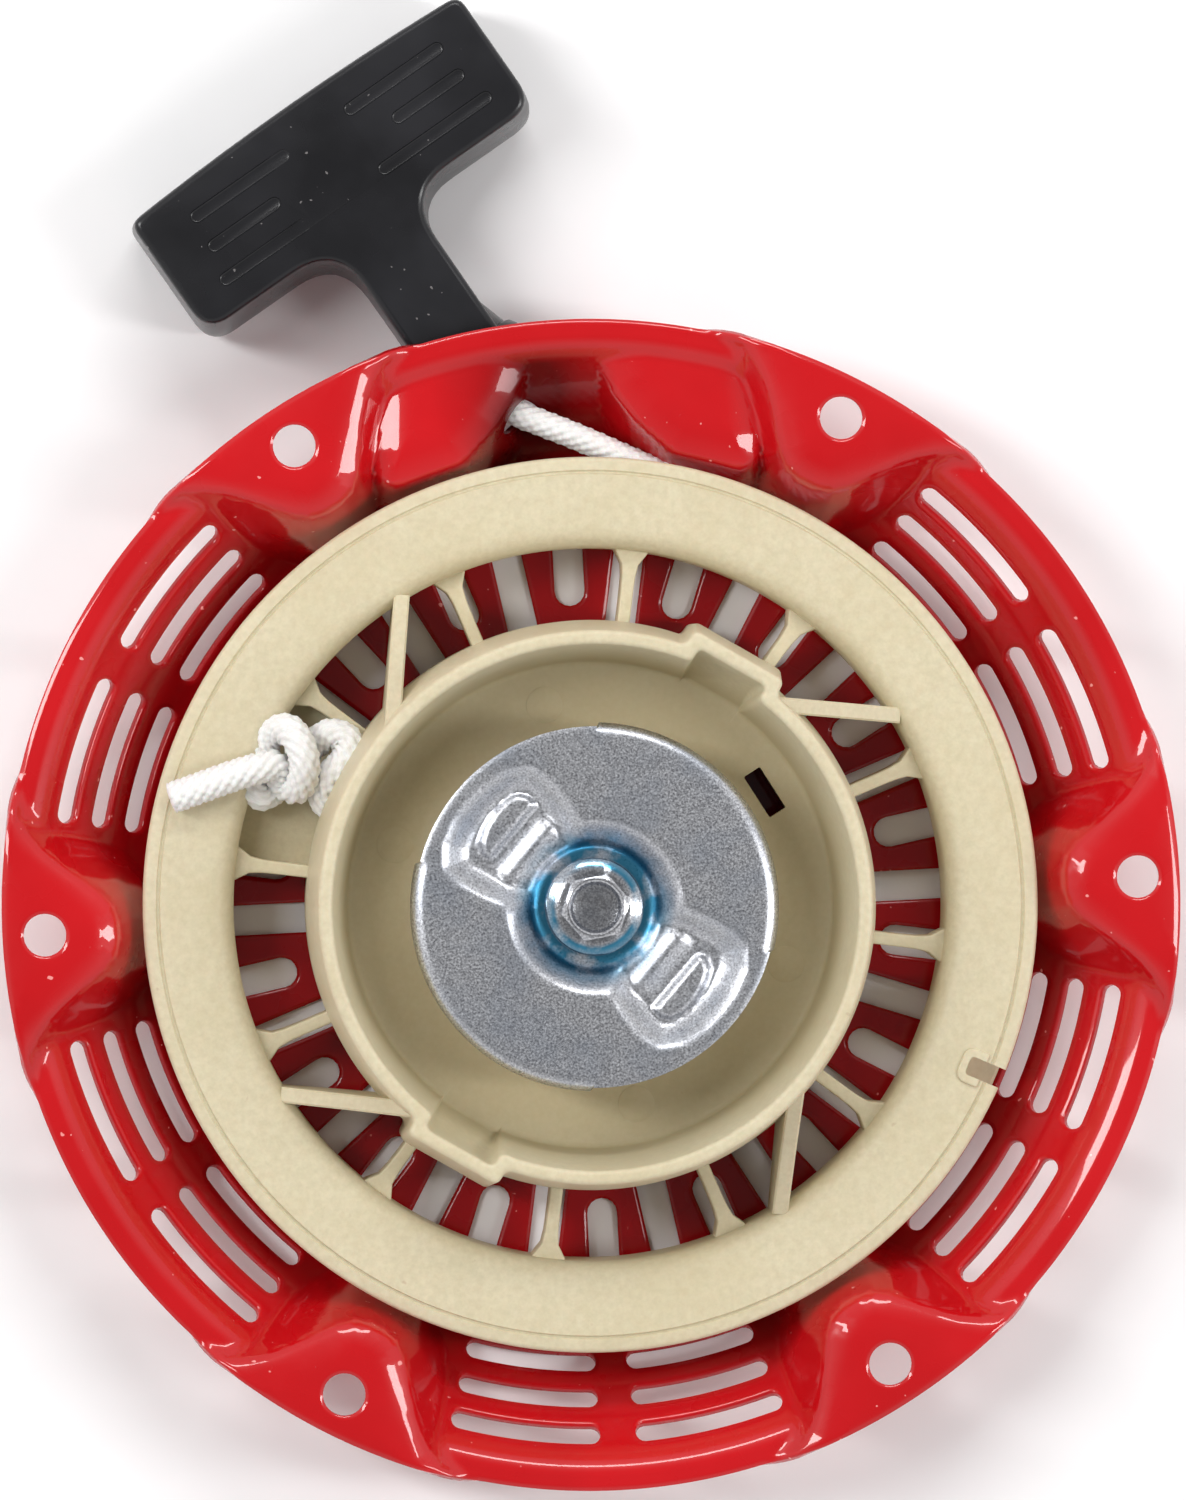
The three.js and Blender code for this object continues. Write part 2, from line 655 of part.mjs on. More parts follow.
// ---------------------------------------------------------------- ratchets, guide and springs
function ratchet(k) {
  const bottom = RATCHET_TOP_Z - RATCHET_HEIGHT;
  const blade = toSolid(prism(ratchetOutline(0), bottom, RATCHET_TOP_Z, 8));
  const bore = toSolid(disc(RATCHET_PIN_R + GAP, bottom - 1, RATCHET_TOP_Z + 1, 16));
  return toSolid(placeRatchet(toGeometry(blade.subtract(bore)), k));
}

// Torsion spring round the pin, with one leg along the ratchet.
function ratchetSpring(k) {
  const radius = RATCHET_PIN_R + GAP + RATCHET_SPRING_WIRE;
  const turns = 2;
  const bottom = pocketFloorZ + GAP + RATCHET_SPRING_WIRE / 2;
  const rise = RATCHET_SPRING_SPACE - 2 * GAP - RATCHET_SPRING_WIRE;
  const points = [];
  for (let i = 0; i <= turns * 8; i += 1) {
    const angle = (i / 8) * 360;
    points.push(polar(radius, angle, bottom + (rise * i) / (turns * 8)));
  }
  points.push(new THREE.Vector3(radius + 0.1, radius + 2, bottom + rise));
  points.push(new THREE.Vector3(radius - 0.6, RATCHET_LENGTH * 0.5, bottom + rise));
  const wire = tubeAlong(smoothPath(points), RATCHET_SPRING_WIRE / 2, 40, 5);
  return placeRatchet(wire, k);
}

function ratchetGuide() {
  const inner = POST_NECK_R + GAP;
  const skirtBottom = GUIDE_TOP_Z - GUIDE_THICKNESS - GUIDE_SKIRT;
  const under = GUIDE_TOP_Z - GUIDE_THICKNESS;
  const plate = toSolid(
    turnedRing(
      [
        [inner, seatBottomZ],
        [GUIDE_SEAT_R, seatBottomZ],
        [GUIDE_DISH_R + 0.6, under],
        [GUIDE_R - GUIDE_THICKNESS, under],
        [GUIDE_R - GUIDE_THICKNESS, skirtBottom],
        [GUIDE_R, skirtBottom],
        [GUIDE_R, GUIDE_TOP_Z - 1],
        [GUIDE_R - 1, GUIDE_TOP_Z],
        [GUIDE_DISH_R, GUIDE_TOP_Z],
        [GUIDE_SEAT_R - 0.6, GUIDE_SEAT_Z],
        [inner, GUIDE_SEAT_Z],
      ],
      48,
    ),
  );
  const gaps = [0, 180].map((turn) => {
    const from = GUIDE_SKIRT_ANGLE + GUIDE_SKIRT_SPAN / 2 + turn;
    const to = from + 180 - GUIDE_SKIRT_SPAN;
    const cut = sectorShape(GUIDE_R - GUIDE_THICKNESS - 0.4, GUIDE_R + 1, from, to);
    return toSolid(prism(cut, skirtBottom - 1, under, 8));
  });
  return plate.subtract(joined(gaps));
}

function frictionSpring() {
  const half = FRICTION_SPRING_WIRE / 2;
  const radius = postBoreR + 1 + half;
  const bottom = HUB_RECESS_Z + GAP + half;
  const top = seatBottomZ - GAP - half;
  const points = [];
  const count = Math.round(FRICTION_SPRING_TURNS * 12);
  for (let i = 0; i <= count; i += 1) {
    points.push(polar(radius, (i / 12) * 360, bottom + ((top - bottom) * i) / count));
  }
  return tubeAlong(smoothPath(points), half, count, 6);
}

// Flat spiral: hooked round the post's foot, its last turn against the chamber wall.
function recoilSpring() {
  const inner = POST_R + RECOIL_MARGIN;
  const outer = chamberR - RECOIL_MARGIN;
  const perTurn = 18;
  const count = RECOIL_TURNS * perTurn;
  const bottom = CHAMBER_BOTTOM_Z + GAP;
  const outside = [];
  const inside = [];
  for (let i = 0; i <= count; i += 1) {
    const r = inner + ((outer - inner) * i) / count;
    const angle = (i / perTurn) * 360;
    outside.push(polar(r, angle));
    inside.push(polar(r - RECOIL_STRIP, angle));
  }
  return prism(outline([...outside, ...inside.reverse()]), bottom, bottom + RECOIL_WIDTH);
}

// ---------------------------------------------------------------- rope
function ropeCoil() {
  const inner = ringInnerR + RING_WEB + GAP;
  const outer = runLayerR - ROPE_R - GAP;
  const bottom = RING_BOTTOM_Z + RING_FLANGE + GAP;
  const top = ringTopZ - RING_FLANGE - GAP;
  return turnedRing([
    [inner, bottom],
    [outer, bottom],
    [outer, top],
    [inner, top],
  ]);
}

// The last layer leaves the groove, crosses to the outlet and runs up the handle to its knot.
function ropeRun() {
  const bend = 7; // the turn at the hole starts and ends this far from it
  const towardsReel = leavePoint.clone().sub(outletPoint).normalize();
  const points = [];
  for (let angle = leaveAngle - 30; angle < leaveAngle; angle += 6) {
    points.push(polar(runLayerR, angle, ropePlaneZ));
  }
  points.push(leavePoint);
  points.push(outletPoint.clone().addScaledVector(towardsReel, 2.4 * bend));
  points.push(outletPoint.clone().addScaledVector(towardsReel, bend));
  points.push(outletPoint.clone().addScaledVector(towardsReel, bend * 0.3));
  points.push(outletPoint.clone().addScaledVector(pullDirection, bend * 0.3));
  points.push(outletPoint.clone().addScaledVector(pullDirection, bend));
  const end = HANDLE_REACH - GRIP_POCKET_DEPTH + WASHER_THICKNESS + GAP;
  points.push(outletPoint.clone().addScaledVector(pullDirection, (bend + end) / 2));
  points.push(outletPoint.clone().addScaledVector(pullDirection, end));
  return tubeAlong(smoothPath(points), ROPE_R - 0.05, 36, 10);
}

// Overhand knot in the reel's window and the tail that lies across the ring.
function reelKnot() {
  const knotR = (CUP_BASE_R + ringInnerR) / 2;
  const half = WINDOW_WIDTH / 2 - REEL_KNOT_CLEARANCE;
  const knotZ = KNOT_FLOOR_Z + KNOT_FLOOR_THICKNESS + GAP + half;
  const knot = new THREE.SphereGeometry(half, 12, 8);
  knot.scale(1, REEL_KNOT_TANGENTIAL / half, 1).translate(knotR, 0, knotZ);
  const tailZ = ringTopZ + GAP + ROPE_R;
  const path = smoothPath([
    polar(knotR, REEL_KNOT_ANGLE, knotZ + 2),
    polar(ringInnerR - 1, REEL_KNOT_ANGLE + 5, tailZ + 0.6),
    polar(ringR - TAIL_INSET, TAIL_END_ANGLE, tailZ),
  ]);
  return toSolid(knot.rotateZ(rad(REEL_KNOT_ANGLE))).add(toSolid(tubeAlong(path, ROPE_R, 8, 8)));
}

// ---------------------------------------------------------------- handle
function barShape() {
  const outer = HANDLE_REACH - BAR_CROWN;
  const inner = HANDLE_REACH - BAR_DEPTH;
  const half = BAR_LENGTH / 2;
  const stem = STEM_WIDTH / 2;
  const shape = new THREE.Shape();
  shape.moveTo(inner - STEM_FILLET, -stem);
  shape.absarc(inner - STEM_FILLET, -stem - STEM_FILLET, STEM_FILLET, Math.PI / 2, 0, true);
  shape.lineTo(inner, -half + BAR_CORNER);
  shape.absarc(inner + BAR_CORNER, -half + BAR_CORNER, BAR_CORNER, Math.PI, 1.5 * Math.PI, false);
  shape.lineTo(outer - BAR_CORNER, -half);
  shape.absarc(outer - BAR_CORNER, -half + BAR_CORNER, BAR_CORNER, -Math.PI / 2, 0, false);
  shape.quadraticCurveTo(HANDLE_REACH + BAR_CROWN, 0, outer, half - BAR_CORNER);
  shape.absarc(outer - BAR_CORNER, half - BAR_CORNER, BAR_CORNER, 0, Math.PI / 2, false);
  shape.lineTo(inner + BAR_CORNER, half);
  shape.absarc(inner + BAR_CORNER, half - BAR_CORNER, BAR_CORNER, Math.PI / 2, Math.PI, false);
  shape.lineTo(inner, stem + STEM_FILLET);
  shape.absarc(inner - STEM_FILLET, stem + STEM_FILLET, STEM_FILLET, 0, -Math.PI / 2, true);
  return shape;
}

function handle() {
  const edge = 1.6; // rounding of the bar's top and bottom edges
  const half = BAR_THICKNESS / 2;
  const bevel = { bevelThickness: edge, bevelSize: edge, bevelOffset: -edge, bevelSegments: 1 };
  const options = { depth: BAR_THICKNESS - 2 * edge, curveSegments: 5, ...bevel };
  const bar = new THREE.ExtrudeGeometry(barShape(), options).translate(0, 0, edge - half);
  const stemHalf = STEM_WIDTH / 2;
  const stemEnd = HANDLE_REACH - BAR_DEPTH;
  const collarEnd = HANDLE_SEAT_GAP + COLLAR_LENGTH;
  const stem = box(collarEnd - 1, stemEnd + 1, -stemHalf, stemHalf, -STEM_THICKNESS / 2, STEM_THICKNESS / 2);
  const collar = disc(COLLAR_R, HANDLE_SEAT_GAP, collarEnd, 24).rotateY(Math.PI / 2);
  collar.scale(1, 1, COLLAR_HALF_HEIGHT / COLLAR_R);
  const bore = disc(ROPE_R + HANDLE_BORE_CLEARANCE, -1, HANDLE_REACH, 12).rotateY(Math.PI / 2);
  const pocketStart = HANDLE_REACH - GRIP_POCKET_DEPTH;
  const pocket = disc(GRIP_POCKET_R, pocketStart, HANDLE_REACH + 2, 20).rotateY(Math.PI / 2);
  const grip = toSolid(bar).add(toSolid(stem)).add(toSolid(collar));
  return toSolid(placeOnPull(toGeometry(grip.subtract(toSolid(bore)).subtract(toSolid(pocket)))));
}

function gripWasher() {
  const start = HANDLE_REACH - GRIP_POCKET_DEPTH + GAP;
  const plate = disc(GRIP_POCKET_R - GAP, start, start + WASHER_THICKNESS, 20);
  const hole = disc(ROPE_R + HANDLE_BORE_CLEARANCE, start - 1, start + WASHER_THICKNESS + 1, 12);
  const washer = toGeometry(toSolid(plate).subtract(toSolid(hole)));
  return placeOnPull(washer.rotateY(Math.PI / 2));
}

function handleKnot() {
  const start = HANDLE_REACH - GRIP_POCKET_DEPTH + WASHER_THICKNESS + 3 * GAP;
  const knot = new THREE.SphereGeometry(HANDLE_KNOT_R, 12, 8);
  return placeOnPull(knot.translate(start + HANDLE_KNOT_R, 0, 0));
}

// ---------------------------------------------------------------- the assembly
addPiece("starter_case", starterCase(), STEEL_RED);
addPiece("centre_post", centrePost(), HARD_STEEL);
addPiece("centre_bolt", centreBolt(), ZINC);
addPiece("reel", reel(), NYLON);
addPiece("recoil_spring", recoilSpring(), SPRING_STEEL);
for (let k = 0; k < RATCHET_COUNT; k += 1) {
  addPiece(`ratchet_${k + 1}`, ratchet(k), HARD_STEEL);
  addPiece(`ratchet_spring_${k + 1}`, ratchetSpring(k), SPRING_STEEL);
}
addPiece("friction_spring", frictionSpring(), SPRING_STEEL);
addPiece("ratchet_guide", ratchetGuide(), ZINC);
addPiece("rope_coil", ropeCoil(), ROPE_WHITE);
addPiece("rope_run", ropeRun(), ROPE_WHITE);
addPiece("reel_knot", reelKnot(), ROPE_WHITE);
addPiece("handle", handle(), BLACK_PLASTIC);
addPiece("grip_washer", gripWasher(), ZINC);
addPiece("handle_knot", handleKnot(), ROPE_WHITE);

export default starter;
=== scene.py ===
"""Looks of the recoil starter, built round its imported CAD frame.

Shapes are in millimetres until mesh_object() turns them to metres. The camera, the lights, the floor and
the places inside materials are in metres.
"""

import math

import bmesh
import bpy
import numpy as np
from mathutils import Matrix, Vector, geometry


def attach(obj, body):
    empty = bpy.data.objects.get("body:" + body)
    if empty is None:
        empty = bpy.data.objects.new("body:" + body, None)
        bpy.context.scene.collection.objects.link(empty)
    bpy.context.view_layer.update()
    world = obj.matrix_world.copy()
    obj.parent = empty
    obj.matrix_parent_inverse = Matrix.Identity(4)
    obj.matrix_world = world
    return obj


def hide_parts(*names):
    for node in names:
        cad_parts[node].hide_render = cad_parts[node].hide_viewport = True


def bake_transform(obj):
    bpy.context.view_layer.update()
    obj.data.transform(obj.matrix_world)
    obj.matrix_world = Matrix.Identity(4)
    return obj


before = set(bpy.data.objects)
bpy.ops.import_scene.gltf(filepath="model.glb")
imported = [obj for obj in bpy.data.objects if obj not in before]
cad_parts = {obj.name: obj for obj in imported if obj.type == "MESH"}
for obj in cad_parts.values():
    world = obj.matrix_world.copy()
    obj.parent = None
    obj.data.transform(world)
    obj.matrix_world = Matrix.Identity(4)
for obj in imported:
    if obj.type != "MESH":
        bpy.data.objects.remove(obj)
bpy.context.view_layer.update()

MM = 0.001
TAU = 2 * math.pi

# -------- sizes shared with the CAD
SHEET = 1.2
EAR_FACE_Z, FLANGE_Z = 26.0, 22.0
FLANGE_INNER_R, BACK_R = 92.4, 73.4
BOLT_CIRCLE_R, EAR_HOLE_R = 90.0, 3.5
POST_HOLE_R = 6.2
SLOT_HALF = 2.5
LONG_SLOT_R, SHORT_SLOT_R, SLOT_OUTER_R = 40.0, 49.5, 69.5
VENT_ROWS, VENT_HALF = (76.5, 82.0, 87.6), 1.5
VENT_ANGLES = (1.9, 18.2)
OUTLET = np.array([-8.54, 81.25, 12.2])
PULL = np.array([-0.529919, 0.848048, 0.0])
ACROSS = np.array([0.848048, 0.529919, 0.0])
UP = np.array([0.0, 0.0, 1.0])
ROPE_HOLE_R = 3.4
RUN_LAYER_R, LEAVE_ANGLE, ROPE_Z = 70.03, 65.0, 13.6
RING_R, RING_INNER_R, RING_BOTTOM, RING_TOP = 73.9, 58.9, 6.6, 20.6
CUP_BASE_R, CUP_RIM_R, CUP_WALL = 47.0, 45.3, 2.4
CUP_FLOOR_R, CUP_RIM_Z, CUP_FLOOR_Z = 40.3, 37.0, 17.0
HUB_R, HUB_TOP = 28.2, 29.4
GUIDE_R, GUIDE_TOP, GUIDE_SEAT = 30.2, 34.0, 30.0
BOLT_SEAT = 30.6
BAR_OUTER, BAR_INNER, BAR_HALF, BAR_THICKNESS = 62.0, 38.2, 33.25, 20.0


# -------- mesh helpers
def cosd(degrees):
    return math.cos(math.radians(degrees))


def sind(degrees):
    return math.sin(math.radians(degrees))


def polar(radius, degrees, z):
    return (radius * cosd(degrees), radius * sind(degrees), z)


def smooth_step(t):
    t = np.clip(t, 0, 1)
    return t * t * (3 - 2 * t)


def link_object(name, data):
    obj = bpy.data.objects.new(name, data)
    bpy.context.scene.collection.objects.link(obj)
    return obj


def mesh_object(name, verts, faces, material, scale=MM):
    mesh = bpy.data.meshes.new(name)
    mesh.from_pydata([(v[0] * scale, v[1] * scale, v[2] * scale) for v in verts], [], faces)
    mesh.update()
    for polygon in mesh.polygons:
        polygon.use_smooth = True
    if material:
        mesh.materials.append(material)
    return link_object(name, mesh)


def face_outwards(obj):
    bm = bmesh.new()
    bm.from_mesh(obj.data)
    bmesh.ops.remove_doubles(bm, verts=bm.verts, dist=1e-6)
    bmesh.ops.recalc_face_normals(bm, faces=bm.faces)
    bm.to_mesh(obj.data)
    bm.free()
    return obj


def resharpen(obj, degrees):
    for polygon in obj.data.polygons:
        polygon.use_smooth = True
    obj.data.set_sharp_from_angle(angle=math.radians(degrees))
    return obj

def finished(obj, name, material, sharp):
    """Names a body made by booleans and gives it one material and its sharp edges."""
    obj.name = name
    obj.data.materials.clear()
    obj.data.materials.append(material)
    return resharpen(obj, sharp)


def loop_vertices(mesh):
    index = np.zeros(len(mesh.loops), int)
    mesh.loops.foreach_get("vertex_index", index)
    return index


def loft(name, rings, material, closed=False, caps=True, sharp=35):
    """A skin over rings of equal point count; closed joins the last ring to the first."""
    count = len(rings[0])
    verts = [p for ring in rings for p in ring]
    faces = []
    spans = len(rings) if closed else len(rings) - 1
    for i in range(spans):
        a, b = i * count, ((i + 1) % len(rings)) * count
        for j in range(count):
            k = (j + 1) % count
            faces.append((a + j, a + k, b + k, b + j))
    if caps and not closed:
        faces.append(tuple(range(count))[::-1])
        faces.append(tuple((len(rings) - 1) * count + j for j in range(count)))
    return resharpen(face_outwards(mesh_object(name, verts, faces, material)), sharp)


def circle(radius, z, count=96):
    angles = np.arange(count) * TAU / count
    return [(radius * math.cos(a), radius * math.sin(a), z) for a in angles]


def turned(name, profile, material, count=96, sharp=35):
    """A body of revolution; a profile that starts and ends on the axis is closed by its end caps."""
    on_axis = profile[0][0] < 0.01
    rings = [circle(max(r, 0.01), z, count) for r, z in profile]
    return loft(name, rings, material, closed=not on_axis, caps=on_axis, sharp=sharp)


def arc(cx, cy, radius, start, end, steps):
    """Points on an arc, angles in degrees."""
    return [(cx + radius * cosd(a), cy + radius * sind(a)) for a in np.linspace(start, end, steps)]

def oblong(low, high, half):
    return [(low, -half), (high, -half), (high, half), (low, half)]


def rounded(points, radii, steps=6):
    """A closed outline with each corner rounded."""
    out = []
    count = len(points)
    for i in range(count):
        p = np.array(points[i], float)
        before = np.array(points[i - 1], float)
        after = np.array(points[(i + 1) % count], float)
        radius = radii[i] if hasattr(radii, "__len__") else radii
        if radius <= 0:
            out.append(tuple(p))
            continue
        a = (before - p) / np.linalg.norm(before - p)
        b = (after - p) / np.linalg.norm(after - p)
        half = math.acos(max(-1.0, min(1.0, float(a @ b)))) / 2
        room = 0.49 * min(np.linalg.norm(before - p), np.linalg.norm(after - p))
        reach = min(radius / math.tan(half), room)
        for t in np.linspace(0, 1, steps):
            q = (1 - t) ** 2 * (p + a * reach) + 2 * t * (1 - t) * p + t * t * (p + b * reach)
            out.append((float(q[0]), float(q[1])))
    return out


def resample(points, count):
    """A closed outline as equally spaced points."""
    pts = np.array(points + [points[0]], float)
    lengths = np.concatenate([[0], np.cumsum(np.linalg.norm(np.diff(pts, axis=0), axis=1))])
    at = np.linspace(0, lengths[-1], count, endpoint=False)
    return np.stack([np.interp(at, lengths, pts[:, k]) for k in range(2)], axis=1)


def outline_normals(points):
    """Outward normals of an anticlockwise closed outline."""
    tangent = np.roll(points, -1, axis=0) - np.roll(points, 1, axis=0)
    tangent /= np.linalg.norm(tangent, axis=1)[:, None]
    return np.stack([tangent[:, 1], -tangent[:, 0]], axis=1)


def at_height(points, z):
    return [(float(p[0]), float(p[1]), z) for p in points]

def slab(name, outline, bottom, top, material, edge=0.0, sharp=35):
    """An upright plate with this outline and rounded top and bottom edges."""
    pts = np.array(outline, float)
    normals = outline_normals(pts)
    steps = [0, 30, 60, 90] if edge else [90]
    rounding = [(edge * (1 - sind(a)), edge * (1 - cosd(a))) for a in steps]
    rings = [at_height(pts - normals * inset, bottom + rise) for inset, rise in rounding]
    rings += [at_height(pts - normals * inset, top - rise) for inset, rise in reversed(rounding)]
    return loft(name, rings, material, sharp=sharp)


def turn(obj, degrees):
    obj.data.transform(Matrix.Rotation(math.radians(degrees), 4, "Z"))
    return obj


def move(obj, x, y, z):
    obj.data.transform(Matrix.Translation((x * MM, y * MM, z * MM)))
    return obj


def combine(target, tools, operation):
    """Boolean of target with each tool; the tools are used up."""
    for tool in tools:
        modifier = target.modifiers.new("cut", "BOOLEAN")
        modifier.operation = operation
        modifier.solver = "MANIFOLD"
        modifier.object = tool
        evaluated = target.evaluated_get(bpy.context.evaluated_depsgraph_get())
        mesh = bpy.data.meshes.new_from_object(evaluated)
        target.modifiers.clear()
        target.data = mesh
        bpy.data.objects.remove(tool)
    return target


def joined(name, objects):
    """Several separate closed meshes as one object."""
    bm = bmesh.new()
    for obj in objects:
        bm.from_mesh(obj.data)
    mesh = bpy.data.meshes.new(name)
    bm.to_mesh(mesh)
    bm.free()
    for material in objects[0].data.materials:
        mesh.materials.append(material)
    for obj in objects:
        bpy.data.objects.remove(obj)
    return link_object(name, mesh)


# -------- material helpers
class Nodes:
    """Builds one procedural material."""

    def __init__(self, name):
        self.material = bpy.data.materials.new(name)
        self.material.use_nodes = True
        self.tree = self.material.node_tree
        self.shader = self.tree.nodes["Principled BSDF"]
        self.coord = self.tree.nodes.new("ShaderNodeTexCoord")


    def node(self, kind, **inputs):
        """A new node with each input set or linked; an underscore stands for a space in its name."""
        node = self.tree.nodes.new("ShaderNode" + kind)
        for key, value in inputs.items():
            socket = node.inputs[key.replace("_", " ")]
            if isinstance(value, bpy.types.NodeSocket):
                self.link(value, socket)
            else:
                socket.default_value = value
        return node

    def set(self, **values):
        for key, value in values.items():
            self.shader.inputs[key.replace("_", " ")].default_value = value

    def link(self, a, b):
        self.tree.links.new(a, b)

    def noise(self, scale, detail=3.0, roughness=0.5, stretch=None, source="Object"):
        vector = self.coord.outputs[source]
        if stretch:
            vector = self.node("Mapping", Vector=vector, Scale=stretch).outputs["Vector"]
        node = self.node("TexNoise", Vector=vector, Scale=scale, Detail=detail, Roughness=roughness)
        return node.outputs["Fac"]

    def ramp(self, value, low, high, a=0.0, b=1.0):
        node = self.node("MapRange", Value=value, From_Min=low, From_Max=high, To_Min=a, To_Max=b)
        node.clamp = True
        return node.outputs["Result"]

    def math(self, operation, a, b=None):
        node = self.tree.nodes.new("ShaderNodeMath")
        node.operation = operation
        for socket, value in zip(node.inputs, (a, b)):
            if value is None:
                continue
            if isinstance(value, (int, float)):
                socket.default_value = value
            else:
                self.link(value, socket)
        return node.outputs[0]

    def times(self, a, b):
        return self.math("MULTIPLY", a, b)

    def length(self, a, b):
        """Length of the vector (a, b)."""
        return self.math("SQRT", self.math("ADD", self.times(a, a), self.times(b, b)))

    def mix(self, factor, a, b):
        node = self.tree.nodes.new("ShaderNodeMix")
        node.data_type = "RGBA"
        self.link(factor, node.inputs["Factor"])
        for key, value in (("A", a), ("B", b)):
            socket = [s for s in node.inputs if s.name == key and s.type == "RGBA"][0]
            if isinstance(value, tuple):
                socket.default_value = (*value, 1.0)
            else:
                self.link(value, socket)
        return [s for s in node.outputs if s.type == "RGBA"][0]

    def position(self):
        """Radius from the reel's axis, then x, y and z, all in metres."""
        x, y, z = self.node("SeparateXYZ", Vector=self.coord.outputs["Object"]).outputs
        return self.length(x, y), x, y, z

    def bump(self, height, strength, distance, normal=None):
        node = self.node("Bump", Strength=strength, Distance=distance, Height=height)
        if normal is not None:
            self.link(normal, node.inputs["Normal"])
        return node.outputs["Normal"]

    def finish(self, color, roughness, normal=None):
        for key, socket in (("Base Color", color), ("Roughness", roughness), ("Normal", normal)):
            if socket is not None:
                self.link(socket, self.shader.inputs[key])
        return self.material


SHADE_X, SHADE_Y = -0.0065, 0.0845


def red_paint():
    """Glossy paint, darker round the outlet and low on the wall, where the lights give too little shade."""
    m = Nodes("case_paint")
    m.set(Coat_Roughness=0.045, Specular_IOR_Level=0.15)
    cloud = m.noise(35, 3)
    color = m.mix(m.ramp(cloud, 0.35, 0.65), (0.50, 0.002, 0.005), (0.57, 0.004, 0.008))
    _, x, y, z = m.position()
    apart = m.length(m.math("SUBTRACT", x, SHADE_X), m.math("SUBTRACT", y, SHADE_Y))
    shade = m.times(m.ramp(apart, 0.0155, 0.006), m.ramp(z, 0.0218, 0.0190))
    low = m.ramp(z, 0.016, 0.004)
    color = m.mix(m.times(low, 0.45), color, (0.20, 0.001, 0.003))
    color = m.mix(m.times(shade, 0.88), color, (0.07, 0.001, 0.001))
    gloss = m.times(m.ramp(z, 0.006, 0.021, 0.45, 1.0), m.math("SUBTRACT", 1.0, m.times(shade, 0.8)))
    m.link(gloss, m.shader.inputs["Coat Weight"])
    specks = m.ramp(m.noise(620, 1.0), 0.765, 0.79)
    color = m.mix(specks, color, (0.85, 0.30, 0.28))
    peel = m.noise(260, 2)
    fine = m.bump(m.ramp(m.noise(700, 1.5), 0.74, 0.8), 0.25, 0.0001)
    return m.finish(color, m.ramp(m.noise(120, 3), 0.3, 0.7, 0.24, 0.34), m.bump(peel, 0.06, 0.0004, fine))


def nylon():
    m = Nodes("reel_nylon")
    m.set(Specular_IOR_Level=0.45, Subsurface_Weight=0.12, Subsurface_Scale=0.002)
    radius, _, _, z = m.position()
    grain = m.noise(900, 3, 0.6)
    cloud = m.noise(45, 4, 0.6)
    color = m.mix(m.ramp(grain, 0.3, 0.7), (0.600, 0.530, 0.360), (0.680, 0.610, 0.430))
    color = m.mix(m.ramp(cloud, 0.45, 0.72, 0.0, 0.35), color, (0.56, 0.47, 0.28))
    # darker inside the cup, below its rim: painted shade of the cup's walls, partly also the nylon's deeper
    # tone where it is thick
    inside = m.times(m.ramp(radius, 0.0432, 0.0405), m.ramp(z, 0.034, 0.019))
    color = m.mix(m.times(inside, 0.55), color, (0.42, 0.345, 0.19))
    stain = m.ramp(m.noise(420, 2, 0.4), 0.76, 0.80, 0.0, 0.35)
    color = m.mix(stain, color, (0.40, 0.25, 0.15))
    return m.finish(color, m.ramp(grain, 0.3, 0.7, 0.40, 0.54), m.bump(grain, 0.22, 0.00012))


def zinc(name, near, far, rough, spangled):
    """Bright zinc with blue thread locker smeared round the bolt between two radii."""
    m = Nodes(name)
    m.set(Metallic=1.0)
    spangle = m.noise(2800, 3, 0.7)
    cloud = m.noise(110, 3)
    color = m.mix(m.ramp(spangle, 0.36, 0.66), (0.40, 0.405, 0.44), (0.88, 0.90, 0.94))
    color = m.mix(m.ramp(cloud, 0.45, 0.7, 0.0, 0.4), color, (0.40, 0.46, 0.56))
    radius = m.position()[0]
    ring = m.times(m.ramp(radius, far, far - 0.0030), m.ramp(radius, near - 0.0006, near))
    smear = m.ramp(m.noise(230, 3), 0.34, 0.54, 0.15, 0.95)
    color = m.mix(m.times(ring, smear), color, (0.03, 0.24, 0.40))
    low, high = rough
    normal = m.bump(spangle, spangled, 0.00003)
    return m.finish(color, m.ramp(spangle, 0.3, 0.7, low, high), normal)


def steel(name, low, high, rough_low, rough_high):
    m = Nodes(name)
    m.set(Metallic=1.0)
    grain = m.noise(1100, 3, 0.6, (1, 1, 4))
    color = m.mix(m.ramp(grain, 0.3, 0.7), low, high)
    return m.finish(color, m.ramp(grain, 0.3, 0.7, rough_low, rough_high), m.bump(grain, 0.1, 0.00005))


def black_plastic():
    m = Nodes("handle_plastic")
    m.set(Specular_IOR_Level=0.5)
    grain = m.noise(1400, 2, 0.6)
    cloud = m.noise(60, 3)
    color = m.mix(m.ramp(cloud, 0.35, 0.7), (0.0075, 0.0075, 0.009), (0.013, 0.013, 0.016))
    dust = m.ramp(m.noise(900, 1.0), 0.775, 0.80)
    color = m.mix(dust, color, (0.16, 0.15, 0.15))
    return m.finish(color, m.ramp(cloud, 0.3, 0.7, 0.24, 0.33), m.bump(grain, 0.04, 0.00005))


